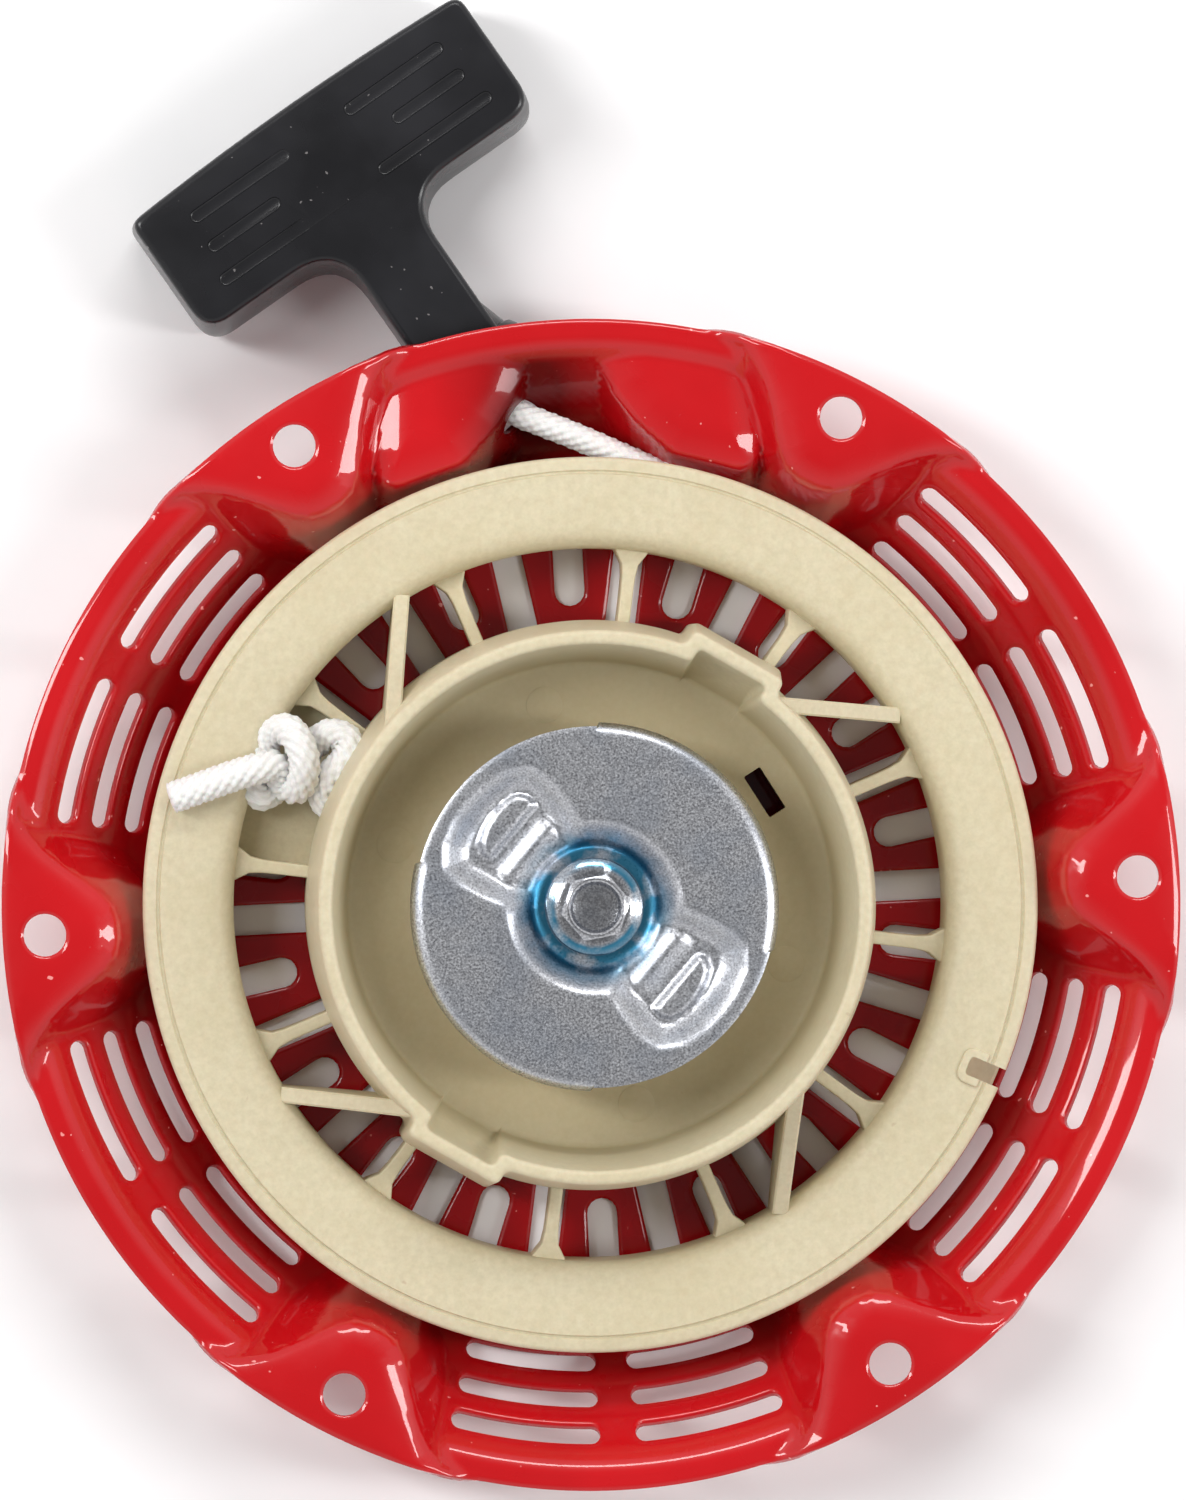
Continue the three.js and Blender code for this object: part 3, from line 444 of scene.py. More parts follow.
def rope_fabric():
    m = Nodes("rope_nylon")
    m.set(Sheen_Weight=0.35, Sheen_Roughness=0.4, Specular_IOR_Level=0.35)
    m.set(Subsurface_Weight=0.1, Subsurface_Scale=0.001)
    fibre = m.noise(1.0, 2, 0.6, (22.0, 90.0, 1.0), "UV")
    fuzz = m.noise(2600, 2, 0.6)
    color = m.mix(m.ramp(fibre, 0.3, 0.7), (0.82, 0.81, 0.78), (0.96, 0.96, 0.95))
    normal = m.bump(fuzz, 0.25, 0.00008, m.bump(fibre, 0.5, 0.00015))
    return m.finish(color, m.ramp(fuzz, 0.3, 0.7, 0.45, 0.65), normal)


def floor_material():
    m = Nodes("floor_sweep")
    grain = m.noise(60, 3)
    color = m.mix(m.ramp(grain, 0.3, 0.7), (0.93, 0.925, 0.93), (0.95, 0.945, 0.95))
    m.set(Specular_IOR_Level=0.2)
    return m.finish(color, m.ramp(grain, 0.3, 0.7, 0.6, 0.7))


RED = red_paint()
NYLON = nylon()
ZINC = zinc("zinc_plate", 0.0082, 0.0134, (0.26, 0.40), 0.25)
BOLT_ZINC = zinc("bolt_zinc", 0.0068, 0.0100, (0.12, 0.20), 0.05)
HARD = steel("turned_steel", (0.30, 0.30, 0.31), (0.48, 0.48, 0.49), 0.28, 0.42)
SPRING = steel("spring_steel", (0.14, 0.145, 0.155), (0.26, 0.265, 0.28), 0.25, 0.4)
BLACK = black_plastic()
ROPE = rope_fabric()

# -------- camera and light
PHOTO_ROLL = math.radians(3)
EAR_PLANE_HEIGHT = 0.2463
SENSOR_WIDTH = 36.0
CAMERA_HEIGHT = 1.5
CAMERA_FOOT = (-0.071, 0.038)
AIM = (0.0, 0.0256)


def from_photo_axes(x, y, z):
    """A place given along the photograph's right and up, in the row frame."""
    c, s = math.cos(PHOTO_ROLL), math.sin(PHOTO_ROLL)
    return Vector((x * c + y * s, -x * s + y * c, z))


def add_camera():
    data = bpy.data.cameras.new("camera")
    camera = link_object("camera", data)
    ear_z = EAR_FACE_Z * MM
    place = from_photo_axes(*CAMERA_FOOT, ear_z + CAMERA_HEIGHT)
    aim = from_photo_axes(*AIM, ear_z)
    back = (place - aim).normalized()
    up = from_photo_axes(0, 1, 0)
    right = up.cross(back).normalized()
    up = back.cross(right)
    rotation = Matrix((right, up, back)).transposed().to_4x4()
    camera.matrix_world = Matrix.Translation(place) @ rotation
    data.sensor_width = SENSOR_WIDTH
    data.lens = SENSOR_WIDTH * (place - aim).length / EAR_PLANE_HEIGHT
    data.clip_start, data.clip_end = 0.05, 20.0
    bpy.context.scene.camera = camera


def softbox(name, place, size, power, aim=(0, 0.02, 0.02)):
    data = bpy.data.lights.new(name, "AREA")
    data.shape = "RECTANGLE"
    data.size, data.size_y = size
    data.energy = power
    lamp = link_object(name, data)
    lamp.location = place
    lamp.rotation_euler = (Vector(aim) - Vector(place)).to_track_quat("-Z", "Y").to_euler()


def add_world():
    """A pale sky that is darker overhead, so that bright metal and gloss show a gradient."""
    world = bpy.data.worlds.new("studio")
    bpy.context.scene.world = world
    world.use_nodes = True
    tree = world.node_tree
    background = tree.nodes["Background"]
    coord = tree.nodes.new("ShaderNodeTexCoord")
    split = tree.nodes.new("ShaderNodeSeparateXYZ")
    ramp = tree.nodes.new("ShaderNodeMapRange")
    for key, value in (("From Min", 0.62), ("From Max", 0.94), ("To Min", 0.70), ("To Max", 0.20)):
        ramp.inputs[key].default_value = value
    tree.links.new(coord.outputs["Generated"], split.inputs["Vector"])
    tree.links.new(split.outputs["Z"], ramp.inputs["Value"])
    tree.links.new(ramp.outputs["Result"], background.inputs["Strength"])
    background.inputs["Color"].default_value = (1.0, 0.99, 0.985, 1.0)


add_camera()
add_world()
softbox("key_left", (-0.75, 0.35, 0.95), (0.22, 0.8), 7.0)
softbox("fill_right", (0.85, -0.1, 0.8), (0.16, 0.8), 5.0)
softbox("top_back", (0.1, 0.95, 0.9), (0.8, 0.16), 4.5)
bpy.context.scene.view_settings.view_transform = "Standard"

FLOOR_HALF, FLOOR_Z = 4, -0.0002
corners = [(x, y, FLOOR_Z) for x, y in oblong(-FLOOR_HALF, FLOOR_HALF, FLOOR_HALF)]
floor = mesh_object("floor", corners, [(0, 1, 2, 3)], floor_material(), scale=1)


# -------- pressed case
SECTOR = math.radians(60)


def smooth_max(a, b, k):
    h = np.clip(0.5 + 0.5 * (a - b) / k, 0, 1)
    return b * (1 - h) + a * h + k * h * (1 - h)


def smooth_min(a, b, k):
    return -smooth_max(-a, -b, k)


def outline_distance(x, y, points):
    """Signed distance to a closed outline, negative inside."""
    pts = np.array(points, float)
    best = np.full(x.shape, 1e9)
    inside = np.zeros(x.shape, bool)
    for (x0, y0), (x1, y1) in zip(pts, np.roll(pts, -1, axis=0)):
        dx, dy = x1 - x0, y1 - y0
        t = np.clip(((x - x0) * dx + (y - y0) * dy) / (dx * dx + dy * dy + 1e-12), 0, 1)
        best = np.minimum(best, (x - x0 - t * dx) ** 2 + (y - y0 - t * dy) ** 2)
        crosses = (y0 > y) != (y1 > y)
        inside ^= crosses & (x < (x1 - x0) * (y - y0) / (dy if abs(dy) > 1e-12 else 1e-12) + x0)
    return np.where(inside, -1, 1) * np.sqrt(best)


def mirrored_outline(half):
    """An outline about the X axis from its upper half, first point nearest the axis."""
    return [(a, -b) for a, b in reversed(half)] + list(half)


EAR_HALF = [(79.3, 1.2), (79.9, 3.4), (81.5, 5.4), (84.5, 7.7), (88.0, 10.3), (91.2, 13.0), (93.6, 15.6),
            (95.4, 18.6), (96.6, 22.0), (98.6, 30.0)]
EAR_OUTLINE = mirrored_outline(EAR_HALF)
PANEL_RIGHT = rounded(
    [(5.6, 96.0), (6.4, 90.2), (9.0, 84.6), (12.4, 79.8), (17.8, 74.6), (24.0, 72.8), (29.8, 71.0),
     (32.0, 76.0), (31.4, 84.6), (31.8, 96.0)],
    [0, 2, 6, 6, 4, 8, 2.6, 3, 6, 0], 5)[::-1]
PANEL_LEFT = [(-a, b) for a, b in PANEL_RIGHT[::-1]]


def case_height(x, y):
    """Height of the engine-side surface of the pressed sheet, without the rolled slot edges."""
    r = np.hypot(x, y)
    slope = (FLANGE_Z - SHEET) / (FLANGE_INNER_R - BACK_R)
    wall = SHEET + (r - BACK_R) * slope
    z = smooth_max(wall, SHEET, 4.0)
    z = smooth_min(z, FLANGE_Z, 2.0)
    angle = np.arctan2(y, x)
    folded = angle - np.round(angle / SECTOR) * SECTOR
    ear = outline_distance(r * np.cos(folded), r * np.sin(folded), EAR_OUTLINE)
    steep = np.interp(r, (76, 82, 94), (2.9, 2.2, 1.25))
    pad = smooth_min(EAR_FACE_Z - steep * (ear - 0.6), EAR_FACE_Z, 1.8)
    soft = EAR_FACE_Z - np.interp(r, (80, 92), (0.5, 0.28)) * (ear + 2.2)
    pad = smooth_min(pad, soft, 1.2)
    near_outlet = (y > 60) & (np.abs(x) < 45)
    for outline in (PANEL_LEFT, PANEL_RIGHT):
        away = outline_distance(x, y, outline)
        top = 21.2 - 0.05 * (r - 78)
        shoulder = top - 0.42 * (away + 3.6)
        panel = smooth_min(smooth_min(top - 3.0 * (away - 0.3), top, 1.6), shoulder, 1.4)
        panel = np.where(near_outlet, panel, 0)
        z = smooth_max(z, panel, 0.9)
    return smooth_max(z, pad, 1.6)


def case_normals(x, y, surface):
    step = 0.03
    gx = (surface(x + step, y) - surface(x - step, y)) / (2 * step)
    gy = (surface(x, y + step) - surface(x, y - step)) / (2 * step)
    n = np.stack([-gx, -gy, np.ones(x.shape)], axis=1)
    return n / np.linalg.norm(n, axis=1)[:, None]


def rope_hole_outline():
    """The hole for the rope: where a tube along both of its legs meets the outlet wall."""
    leave = np.array(polar(RUN_LAYER_R, LEAVE_ANGLE, ROPE_Z))
    legs = [(OUTLET, OUTLET + PULL * 9), (OUTLET, OUTLET + (leave - OUTLET) * 0.12)]

    def outside(x, y):
        p = np.array([x, y, float(case_height(np.array([x]), np.array([y]))[0]) - SHEET / 2])
        best = 1e9
        for a, b in legs:
            t = np.clip(((p - a) @ (b - a)) / ((b - a) @ (b - a)), 0, 1)
            best = min(best, np.linalg.norm(p - a - t * (b - a)))
        return best - ROPE_HOLE_R

    grid = range(-12, 13)
    tries = [(OUTLET[0] + 0.25 * i, OUTLET[1] + 0.25 * j) for i in grid for j in grid]
    centre_x, centre_y = min(tries, key=lambda p: outside(*p))
    points = []
    for k in range(40):
        c, s = math.cos(TAU * k / 40), math.sin(TAU * k / 40)
        low, high = 0.0, 9.0
        for _ in range(18):
            middle = (low + high) / 2
            if outside(centre_x + middle * c, centre_y + middle * s) > 0:
                high = middle
            else:
                low = middle
        points.append((centre_x + low * c, centre_y + low * s))
    return points


class Slots:
    """All openings but the rope's: outlines at any offset, and the distance to the nearest."""

    def __init__(self):
        self.items = []
        for k in range(36):
            inner = LONG_SLOT_R if k % 2 == 0 else SHORT_SLOT_R
            ends = inner + SLOT_HALF, SLOT_OUTER_R - SLOT_HALF
            self.items.append(("bar", math.radians(10 * k), *ends, SLOT_HALF))
        for sector in (0, 2, 3, 4, 5):
            middle = 30 + 60 * sector
            for row in VENT_ROWS:
                end = math.degrees(VENT_HALF / row)
                low, high = VENT_ANGLES[0] + end, VENT_ANGLES[1] - end
                for a, b in ((low, high), (-high, -low)):
                    ends = math.radians(middle + a), math.radians(middle + b)
                    self.items.append(("arc", *ends, row, VENT_HALF))
        for k in range(6):
            x, y, _ = polar(BOLT_CIRCLE_R, 60 * k, 0)
            self.items.append(("disc", x, y, 0, EAR_HOLE_R))

    @staticmethod
    def outline(item, extra):
        kind, half = item[0], item[4] + extra
        if kind == "disc":
            return [(item[1] + px, item[2] + py) for px, py in arc(0, 0, half, 0, 350, 36)]
        if kind == "bar":
            angle, a, b = item[1:4]
            pts = arc(b, 0, half, -90, 90, 9) + [(x, half) for x in np.linspace(b, a, 14)[1:-1]]
            pts += arc(a, 0, half, 90, 270, 9) + [(x, -half) for x in np.linspace(a, b, 14)[1:-1]]
            c, s = math.cos(angle), math.sin(angle)
            return [(x * c - y * s, x * s + y * c) for x, y in pts]
        a, b, row = item[1:4]
        da, db = math.degrees(a), math.degrees(b)
        pts = arc(0, 0, row + half, da, db, 18)
        pts += arc(row * math.cos(b), row * math.sin(b), half, db, db + 180, 9)[1:-1]
        pts += arc(0, 0, row - half, db, da, 18)
        pts += arc(row * math.cos(a), row * math.sin(a), half, da + 180, da + 360, 9)[1:-1]
        return pts

    def distance(self, x, y):
        best = np.full(x.shape, 1e9)
        for item in self.items:
            if item[0] == "disc":
                d = np.hypot(x - item[1], y - item[2])
            elif item[0] == "bar":
                angle, a, b = item[1:4]
                c, s = math.cos(angle), math.sin(angle)
                along, side = x * c + y * s, -x * s + y * c
                d = np.hypot(along - np.clip(along, a, b), side)
            else:
                a, b, row = item[1:4]
                middle, half = (a + b) / 2, (b - a) / 2
                swing = np.arctan2(y, x) - middle
                swing = (swing + math.pi) % TAU - math.pi
                limited = np.clip(swing, -half, half) + middle
                on_row = np.abs(np.hypot(x, y) - row)
                at_end = np.hypot(x - row * np.cos(limited), y - row * np.sin(limited))
                d = np.where(np.abs(swing) <= half, on_row, at_end)
            best = np.minimum(best, d - item[4])
        return best


SLOTS = Slots()
ROPE_HOLE = rope_hole_outline()
ROLL_WIDTH, ROLL_DEPTH = 0.8, 0.3
RIM_R, RIM_AT_EAR = 96.55, 0.4
RIM_ROLL_WIDTH, RIM_ROLL_DEPTH = 1.0, 0.35
EAR_HALF_ANGLE, EAR_BLEND_ANGLE = 13.5, 4.0


def rim_radius(angle):
    """Radius of the flange's edge, a little more at the ears than between them."""
    folded = np.degrees(np.abs(angle - np.round(angle / SECTOR) * SECTOR))
    return RIM_R + RIM_AT_EAR * smooth_step((EAR_HALF_ANGLE - folded) / EAR_BLEND_ANGLE)


def clearance(x, y):
    """Distance to the nearest opening in the sheet, negative inside one."""
    return np.minimum(SLOTS.distance(x, y), outline_distance(x, y, ROPE_HOLE))


def rolled_surface(x, y):
    """The engine-side surface with its edges rolled down at the openings and the rim."""
    t = np.clip(1 - clearance(x, y) / ROLL_WIDTH, 0, 1.3)
    edge = rim_radius(np.arctan2(y, x)) - np.hypot(x, y)
    u = np.clip(1 - edge / RIM_ROLL_WIDTH, 0, 1.2)
    return case_height(x, y) - (ROLL_DEPTH * t * t + RIM_ROLL_DEPTH * u * u)


def sheet_points():
    """Rings of points over the sheet, closer where it is formed, none beside an opening."""
    radii = [*np.arange(9, 70, 3.2), *np.arange(70, 80, 0.8), *np.arange(80, 95.9, 0.62)]
    rings = []
    for i, r in enumerate(radii):
        count = 180 if r < 70 else 480
        a = (np.arange(count) + 0.5 * (i % 2)) * TAU / count
        rings.append(np.stack([r * np.cos(a), r * np.sin(a)], axis=1))
    points = np.concatenate(rings)
    return points[clearance(points[:, 0], points[:, 1]) > ROLL_WIDTH + 0.35]


def sheet_loops():
    """The rim and every opening, each with loops beside it that carry its rolled edge."""
    angles = np.arange(480) * TAU / 480
    loops = []
    for inset in (0.0, 0.35, 0.9):
        radius = rim_radius(angles) - inset
        loops.append(list(zip(radius * np.cos(angles), radius * np.sin(angles))))
    loops.append(arc(0, 0, POST_HOLE_R, 0, 352, 45))
    loops += [SLOTS.outline(item, extra) for item in SLOTS.items for extra in (0.0, 0.35, 0.8)]
    centre = np.mean(np.array(ROPE_HOLE), axis=0)
    for grow in (1.0, 1.1, 1.25):
        loops.append([tuple(centre + (np.array(p) - centre) * grow) for p in ROPE_HOLE])
    return loops


def sheet_triangles():
    """The sheet seen from above, as points and anticlockwise triangles."""
    coords = [Vector(p) for p in sheet_points().tolist()]
    edges = []
    for loop in sheet_loops():
        first = len(coords)
        coords += [Vector((float(p[0]), float(p[1]))) for p in loop]
        edges += [(first + k, first + (k + 1) % len(loop)) for k in range(len(loop))]
    verts, _, tris, _, _, _ = geometry.delaunay_2d_cdt(coords, edges, [], 0, 1e-5)
    xy = np.array([(v[0], v[1]) for v in verts])
    tris = np.array([t for t in tris if len(t) == 3])
    x, y = xy[tris].mean(axis=1).T
    radius = np.hypot(x, y)
    solid = (clearance(x, y) > 0) & (radius > POST_HOLE_R * cosd(4))
    solid &= radius < rim_radius(np.arctan2(y, x)) - 0.004
    used, tris = np.unique(tris[solid], return_inverse=True)
    tris = tris.reshape(-1, 3)
    x, y = xy[used].T
    a, b, c = tris.T
    area = (x[b] - x[a]) * (y[c] - y[a]) - (x[c] - x[a]) * (y[b] - y[a])
    tris[area < 0] = tris[area < 0][:, ::-1]
    return x, y, tris


def build_case():
    x, y, tris = sheet_triangles()
    n_plain = case_normals(x, y, case_height)
    n_top = case_normals(x, y, rolled_surface)
    top = np.stack([x, y, rolled_surface(x, y)], axis=1)
    bottom = np.stack([x, y, case_height(x, y)], axis=1) - n_plain * SHEET
    bottom[:, 2] = np.maximum(bottom[:, 2], 0.0)
    count = len(top)
    faces = [tuple(t) for t in tris.tolist()]
    directed = dict.fromkeys(edge for a, b, c in faces for edge in ((a, b), (b, c), (c, a)))
    border = [(a, b) for a, b in directed if (b, a) not in directed]
    faces += [tuple(i + count for i in face[::-1]) for face in faces]
    faces += [(b, a, a + count, b + count) for a, b in border]
    obj = mesh_object("case_shell", np.concatenate([top, bottom]), faces, RED)
    vertex = loop_vertices(obj.data)
    normals = np.zeros((len(vertex), 3))
    flat = len(tris) * 3
    normals[:flat] = n_top[vertex[:flat]]
    normals[flat:2 * flat] = -n_plain[vertex[flat:2 * flat] - count]
    obj.data.normals_split_custom_set([tuple(n) for n in normals])
    return obj


case = build_case()
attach(case, "housing")
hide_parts("starter_case")



# -------- reel
BUMP_ANGLES, NOTCH_ANGLE = (57.3, 237.3), 334
CHAMBER_R, CHAMBER_ROOF, CUP_BOTTOM = 44.0, 15.0, 3.4
CUP_EDGE, FLOOR_ROUND = 0.8, 1.0
RECESS_R, RECESS_Z, BORE_R = 14.5, 24.4, 7.3
CHANNEL_R, CHANNEL_LOW, CHANNEL_HIGH = 61.5, 8.6, 18.6
WEB_LOW = 8.0
PIVOT_R, PIN_R = 21.0, 2.5


def cup_outline(base, half, reach, foot_radius, corner):
    """The cup seen from above at one height, with its two bump-outs."""
    start = math.degrees(math.asin(half / base))
    foot = base * cosd(start)
    points, radii = [], []
    for middle in BUMP_ANGLES:
        c, s = cosd(middle), sind(middle)
        for u, v, radius in ((foot, -half, foot_radius), (reach, -half, corner),
                             (reach, half, corner), (foot, half, foot_radius)):
            points.append((u * c - v * s, u * s + v * c))
            radii.append(radius)
        for a in np.linspace(middle + start + 4.0, middle + 180 - start - 4.0, 112):
            points.append((base * cosd(a), base * sind(a)))
            radii.append(0)
    return np.array(rounded(points, radii, 7))


def cup_and_hub():
    """One closed skin: up the cup's outside, over its rim, across its floor and over the hub to the bore."""
    inner_r = CUP_RIM_R - CUP_WALL
    outer = cup_outline(CUP_BASE_R, 8.5, 49.1, 2.4, 3.2)
    rim_outer = cup_outline(CUP_RIM_R, 8.5, 47.4, 2.4, 3.2)
    inner = cup_outline(inner_r, 6.3, 45.0, 1.4, 2.4)
    chamber = outer * (CHAMBER_R / CUP_BASE_R)
    rings = [at_height(chamber, CHAMBER_ROOF), at_height(chamber, CUP_BOTTOM),
             at_height(outer - outline_normals(outer) * 0.5, CUP_BOTTOM), at_height(outer, CUP_BOTTOM + 0.5),
             at_height(outer, 12.0), at_height(outer, RING_TOP)]
    top, foot = CUP_RIM_Z - CUP_EDGE, CUP_FLOOR_Z + FLOOR_ROUND
    for t in (0.25, 0.6):
        rings.append(at_height(outer + (rim_outer - outer) * t, RING_TOP + (top - RING_TOP) * t))
    rounding = [(CUP_EDGE * (1 - cosd(a)), top + CUP_EDGE * sind(a)) for a in (0, 30, 60, 90)]
    rings += [at_height(rim_outer - outline_normals(rim_outer) * inset, z) for inset, z in rounding]
    rings += [at_height(inner + outline_normals(inner) * inset, z) for inset, z in reversed(rounding)]
    for t in (0.25, 0.5, 0.75, 1.0):
        radius = inner_r - (inner_r - CUP_FLOOR_R) * t
        ring = cup_outline(radius, 6.3 - 0.9 * t, 45.0 - 4.3 * t * t, 1.4, 2.4 - 0.9 * t)
        rings.append(at_height(ring, top + (foot - top) * t))
    for a in (30, 60, 90):
        inset = FLOOR_ROUND * (1 - cosd(a))
        ring = cup_outline(CUP_FLOOR_R - inset, 5.4, 40.7 - inset, 1.4, 1.5)
        rings.append(at_height(ring, foot - FLOOR_ROUND * sind(a)))
    angles = np.arctan2(ring[:, 1], ring[:, 0])
    unit = np.stack([np.cos(angles), np.sin(angles)], axis=1)
    for radius, z in ((36.0, CUP_FLOOR_Z), (32.0, CUP_FLOOR_Z), (HUB_R + 1.0, CUP_FLOOR_Z),
                      (HUB_R + 0.3, CUP_FLOOR_Z + 0.3), (HUB_R, CUP_FLOOR_Z + 1.0), (HUB_R, HUB_TOP - 0.6),
                      (HUB_R - 0.6, HUB_TOP), (RECESS_R, HUB_TOP), (RECESS_R, RECESS_Z), (BORE_R, RECESS_Z),
                      (BORE_R, CHAMBER_ROOF)):
        rings.append(at_height(unit * radius, z))
    return loft("reel_body", rings, NYLON, closed=True, sharp=40)


def reel_ring():
    """The ring round the rope's channel, with a fine groove near the edge of its face."""
    profile = [(RING_INNER_R, RING_BOTTOM), (RING_R - 1.0, RING_BOTTOM), (RING_R, RING_BOTTOM + 0.8),
               (RING_R, CHANNEL_LOW - 0.5), (RING_R - 0.5, CHANNEL_LOW), (CHANNEL_R, CHANNEL_LOW),
               (CHANNEL_R, CHANNEL_HIGH), (RING_R - 0.6, CHANNEL_HIGH), (RING_R, CHANNEL_HIGH + 0.3),
               (RING_R, CHANNEL_HIGH + 0.9)]
    profile += [(RING_R - 0.8 + 0.8 * cosd(a), 19.45 + 0.8 * sind(a)) for a in (30, 60, 88)]
    profile += [(71.75, 20.40), (71.5, 20.12), (71.25, 20.12), (71.0, RING_TOP), (66.0, 20.62)]
    profile += arc(62.6, 16.9, 3.7, 90, 180, 6) + [(RING_INNER_R, 13.5)]
    return turned("ring", profile, NYLON, 240, 30)


def reel_rib():
    """One spoke from the cup to the ring, flared where it meets the ring."""
    inner, outer = 44.6, 60.6
    side = []
    for x in np.linspace(inner, outer, 9):
        flare = 1.05 + 2.2 * math.exp(-(outer - 1.6 - x) / 1.3) * (x > 52)
        side.append((x, -min(flare, 3.6)))
    return slab("rib", side + [(x, -y) for x, y in reversed(side)], 8.0, 16.2, NYLON, 0.35, 40)


def reel_web():
    """One gusset that climbs from the ring to the wall of the cup."""
    start, end = np.array(polar(59.9, 28.4, 0)), np.array(polar(44.5, 45.0, 0))
    length = float(np.linalg.norm(end - start))
    side = [(0, WEB_LOW), (length, WEB_LOW), (length, 34.0), (length * 0.55, 26.6), (0.9, 20.3), (0, 19.6)]
    rings = []
    for offset, shrink in ((-1.3, 0.3), (-1.0, 0.0), (1.0, 0.0), (1.3, 0.3)):
        rings.append([(u, offset, z - (shrink if z > WEB_LOW else 0)) for u, z in side])
    web = turn(loft("web", rings, NYLON, sharp=40), math.degrees(math.atan2(*(end - start)[1::-1])))
    return move(web, *start)


def reel_additions():
    """Ring, ribs, gussets, the floor under the knot, four round marks and the lip by the notch."""
    parts = [reel_ring()]
    parts += [turn(reel_rib(), 20.3 + 30 * k) for k in range(12)]
    parts += [turn(reel_web(), 90 * k) for k in range(4)]
    sector = arc(0, 0, 60.0, 140.3, 170.3, 16) + arc(0, 0, 46.0, 170.3, 140.3, 16)
    parts.append(slab("knot_floor", sector, 9.0, 10.6, NYLON))
    for angle in (100, 160, 280, 340):
        mark = turned("mark", [(0, 16.5), (3.0, 16.5), (3.0, 17.06), (2.85, 17.1), (0, 17.1)], NYLON, 32)
        parts.append(move(mark, *polar(33.8, angle, 0)))
    lip = rounded(oblong(66.3, 70.4, 3.0), [2.4, 0.4, 0.4, 2.4], 5)
    return parts + [turn(slab("lip", lip, 19.6, 21.1, NYLON, 0.3), NOTCH_ANGLE)]


def reel_cuts():
    """The notch in the ring, the slot in the floor, and the pockets in which the ratchets swing."""
    notch = rounded(oblong(67.6, 75.5, 1.6), [0.7, 0, 0, 0.7], 4)
    slot = rounded(oblong(32.7, 35.9, 4.0), 0.3, 3)
    cuts = [turn(slab("cut", notch, 17.6, 22.0, None), NOTCH_ANGLE),
            turn(slab("cut", slot, 13.5, 18.2, None), 29.7)]
    blade = rounded([(-5.4, -4.6), (5.4, -4.6), (3.6, 9), (2.8, 16.8), (-1.8, 15.4), (-3.6, 8)], 2.0, 4)
    for k in range(2):
        for swing in (0, -12, -24, -36, -40):
            cutter = turn(slab("cut", blade, 21.6, 31.0, None), swing)
            cuts.append(turn(move(cutter, PIVOT_R, 0, 0), 90 + 180 * k))
    return cuts


def ratchet_pins():
    profile = [(0, 20.6), (PIN_R, 20.6), (PIN_R, HUB_TOP - 0.3), (PIN_R - 0.3, HUB_TOP), (0, HUB_TOP)]
    return [move(turned("pin", profile, NYLON, 24), 0, y, 0) for y in (PIVOT_R, -PIVOT_R)]


def build_reel():
    body = cup_and_hub()
    combine(body, reel_additions(), "UNION")
    combine(body, reel_cuts(), "DIFFERENCE")
    combine(body, ratchet_pins(), "UNION")
    return finished(body, "reel_moulding", NYLON, 38)


reel = build_reel()
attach(reel, "spool")
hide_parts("reel")

# -------- guide plate
ARM_ANGLE = 137.0
SKIRTS = ((-17.0, 86.0), (163.0, 266.0))
SKIRT_BOTTOM, BETWEEN_SKIRTS_R = 30.4, 29.55
GUIDE_SHEET, GUIDE_BEND, PIT_DEPTH = 1.4, 2.2, 3.1
ARM_PIT = mirrored_outline([(25.2, 0.0), (25.0, 3.5), (23.9, 7.2), (22.0, 9.4), (19.5, 9.7), (15.5, 8.9),
                            (11.5, 7.6), (8.0, 6.6), (4.0, 6.0)])
ARM_PAD = [(18.1, -4.9), (19.4, -5.3), (21.2, -4.2), (22.3, -1.6), (22.7, 1.2), (22.5, 4.0), (21.6, 6.0),
           (19.8, 6.9), (18.1, 6.7)]


def guide_edge(angle):
    """Radius of the plate: full where the edge is turned down, a little less between."""
    degrees = np.degrees(angle) % 360
    out = np.full(angle.shape, BETWEEN_SKIRTS_R)
    for low, high in SKIRTS:
        out = np.where(((degrees - low) % 360) < (high - low), GUIDE_R, out)
    return out


def guide_height(x, y):
    """Height of the plate's face: two sunk arms with a raised pad and ridge, and a dish round the bolt."""
    r = np.hypot(x, y)
    c, s = cosd(ARM_ANGLE), sind(ARM_ANGLE)
    along, side = x * c + y * s, -x * s + y * c
    fold = np.where(along >= 0, 1.0, -1.0)
    u, v = along * fold, -side * fold
    hollow = smooth_min(outline_distance(u, v, ARM_PIT), r - 12.4, 1.6)
    z = GUIDE_TOP - PIT_DEPTH * (1 - smooth_step((hollow + 2.6) / 5.0))
    z = z + smooth_step((0.6 - outline_distance(u, v, ARM_PAD)) / 1.5) * (r > 12)
    beside = np.clip((7.0 - np.abs(v)) / 2.0, 0, 1) * np.clip((r - 10.5) / 2.0, 0, 1)
    z = z + 0.7 * np.exp(-((u - 13.9) / 1.7) ** 2) * beside
    return z - (GUIDE_TOP - PIT_DEPTH - GUIDE_SEAT) * smooth_step((11.4 - r) / 2.2)


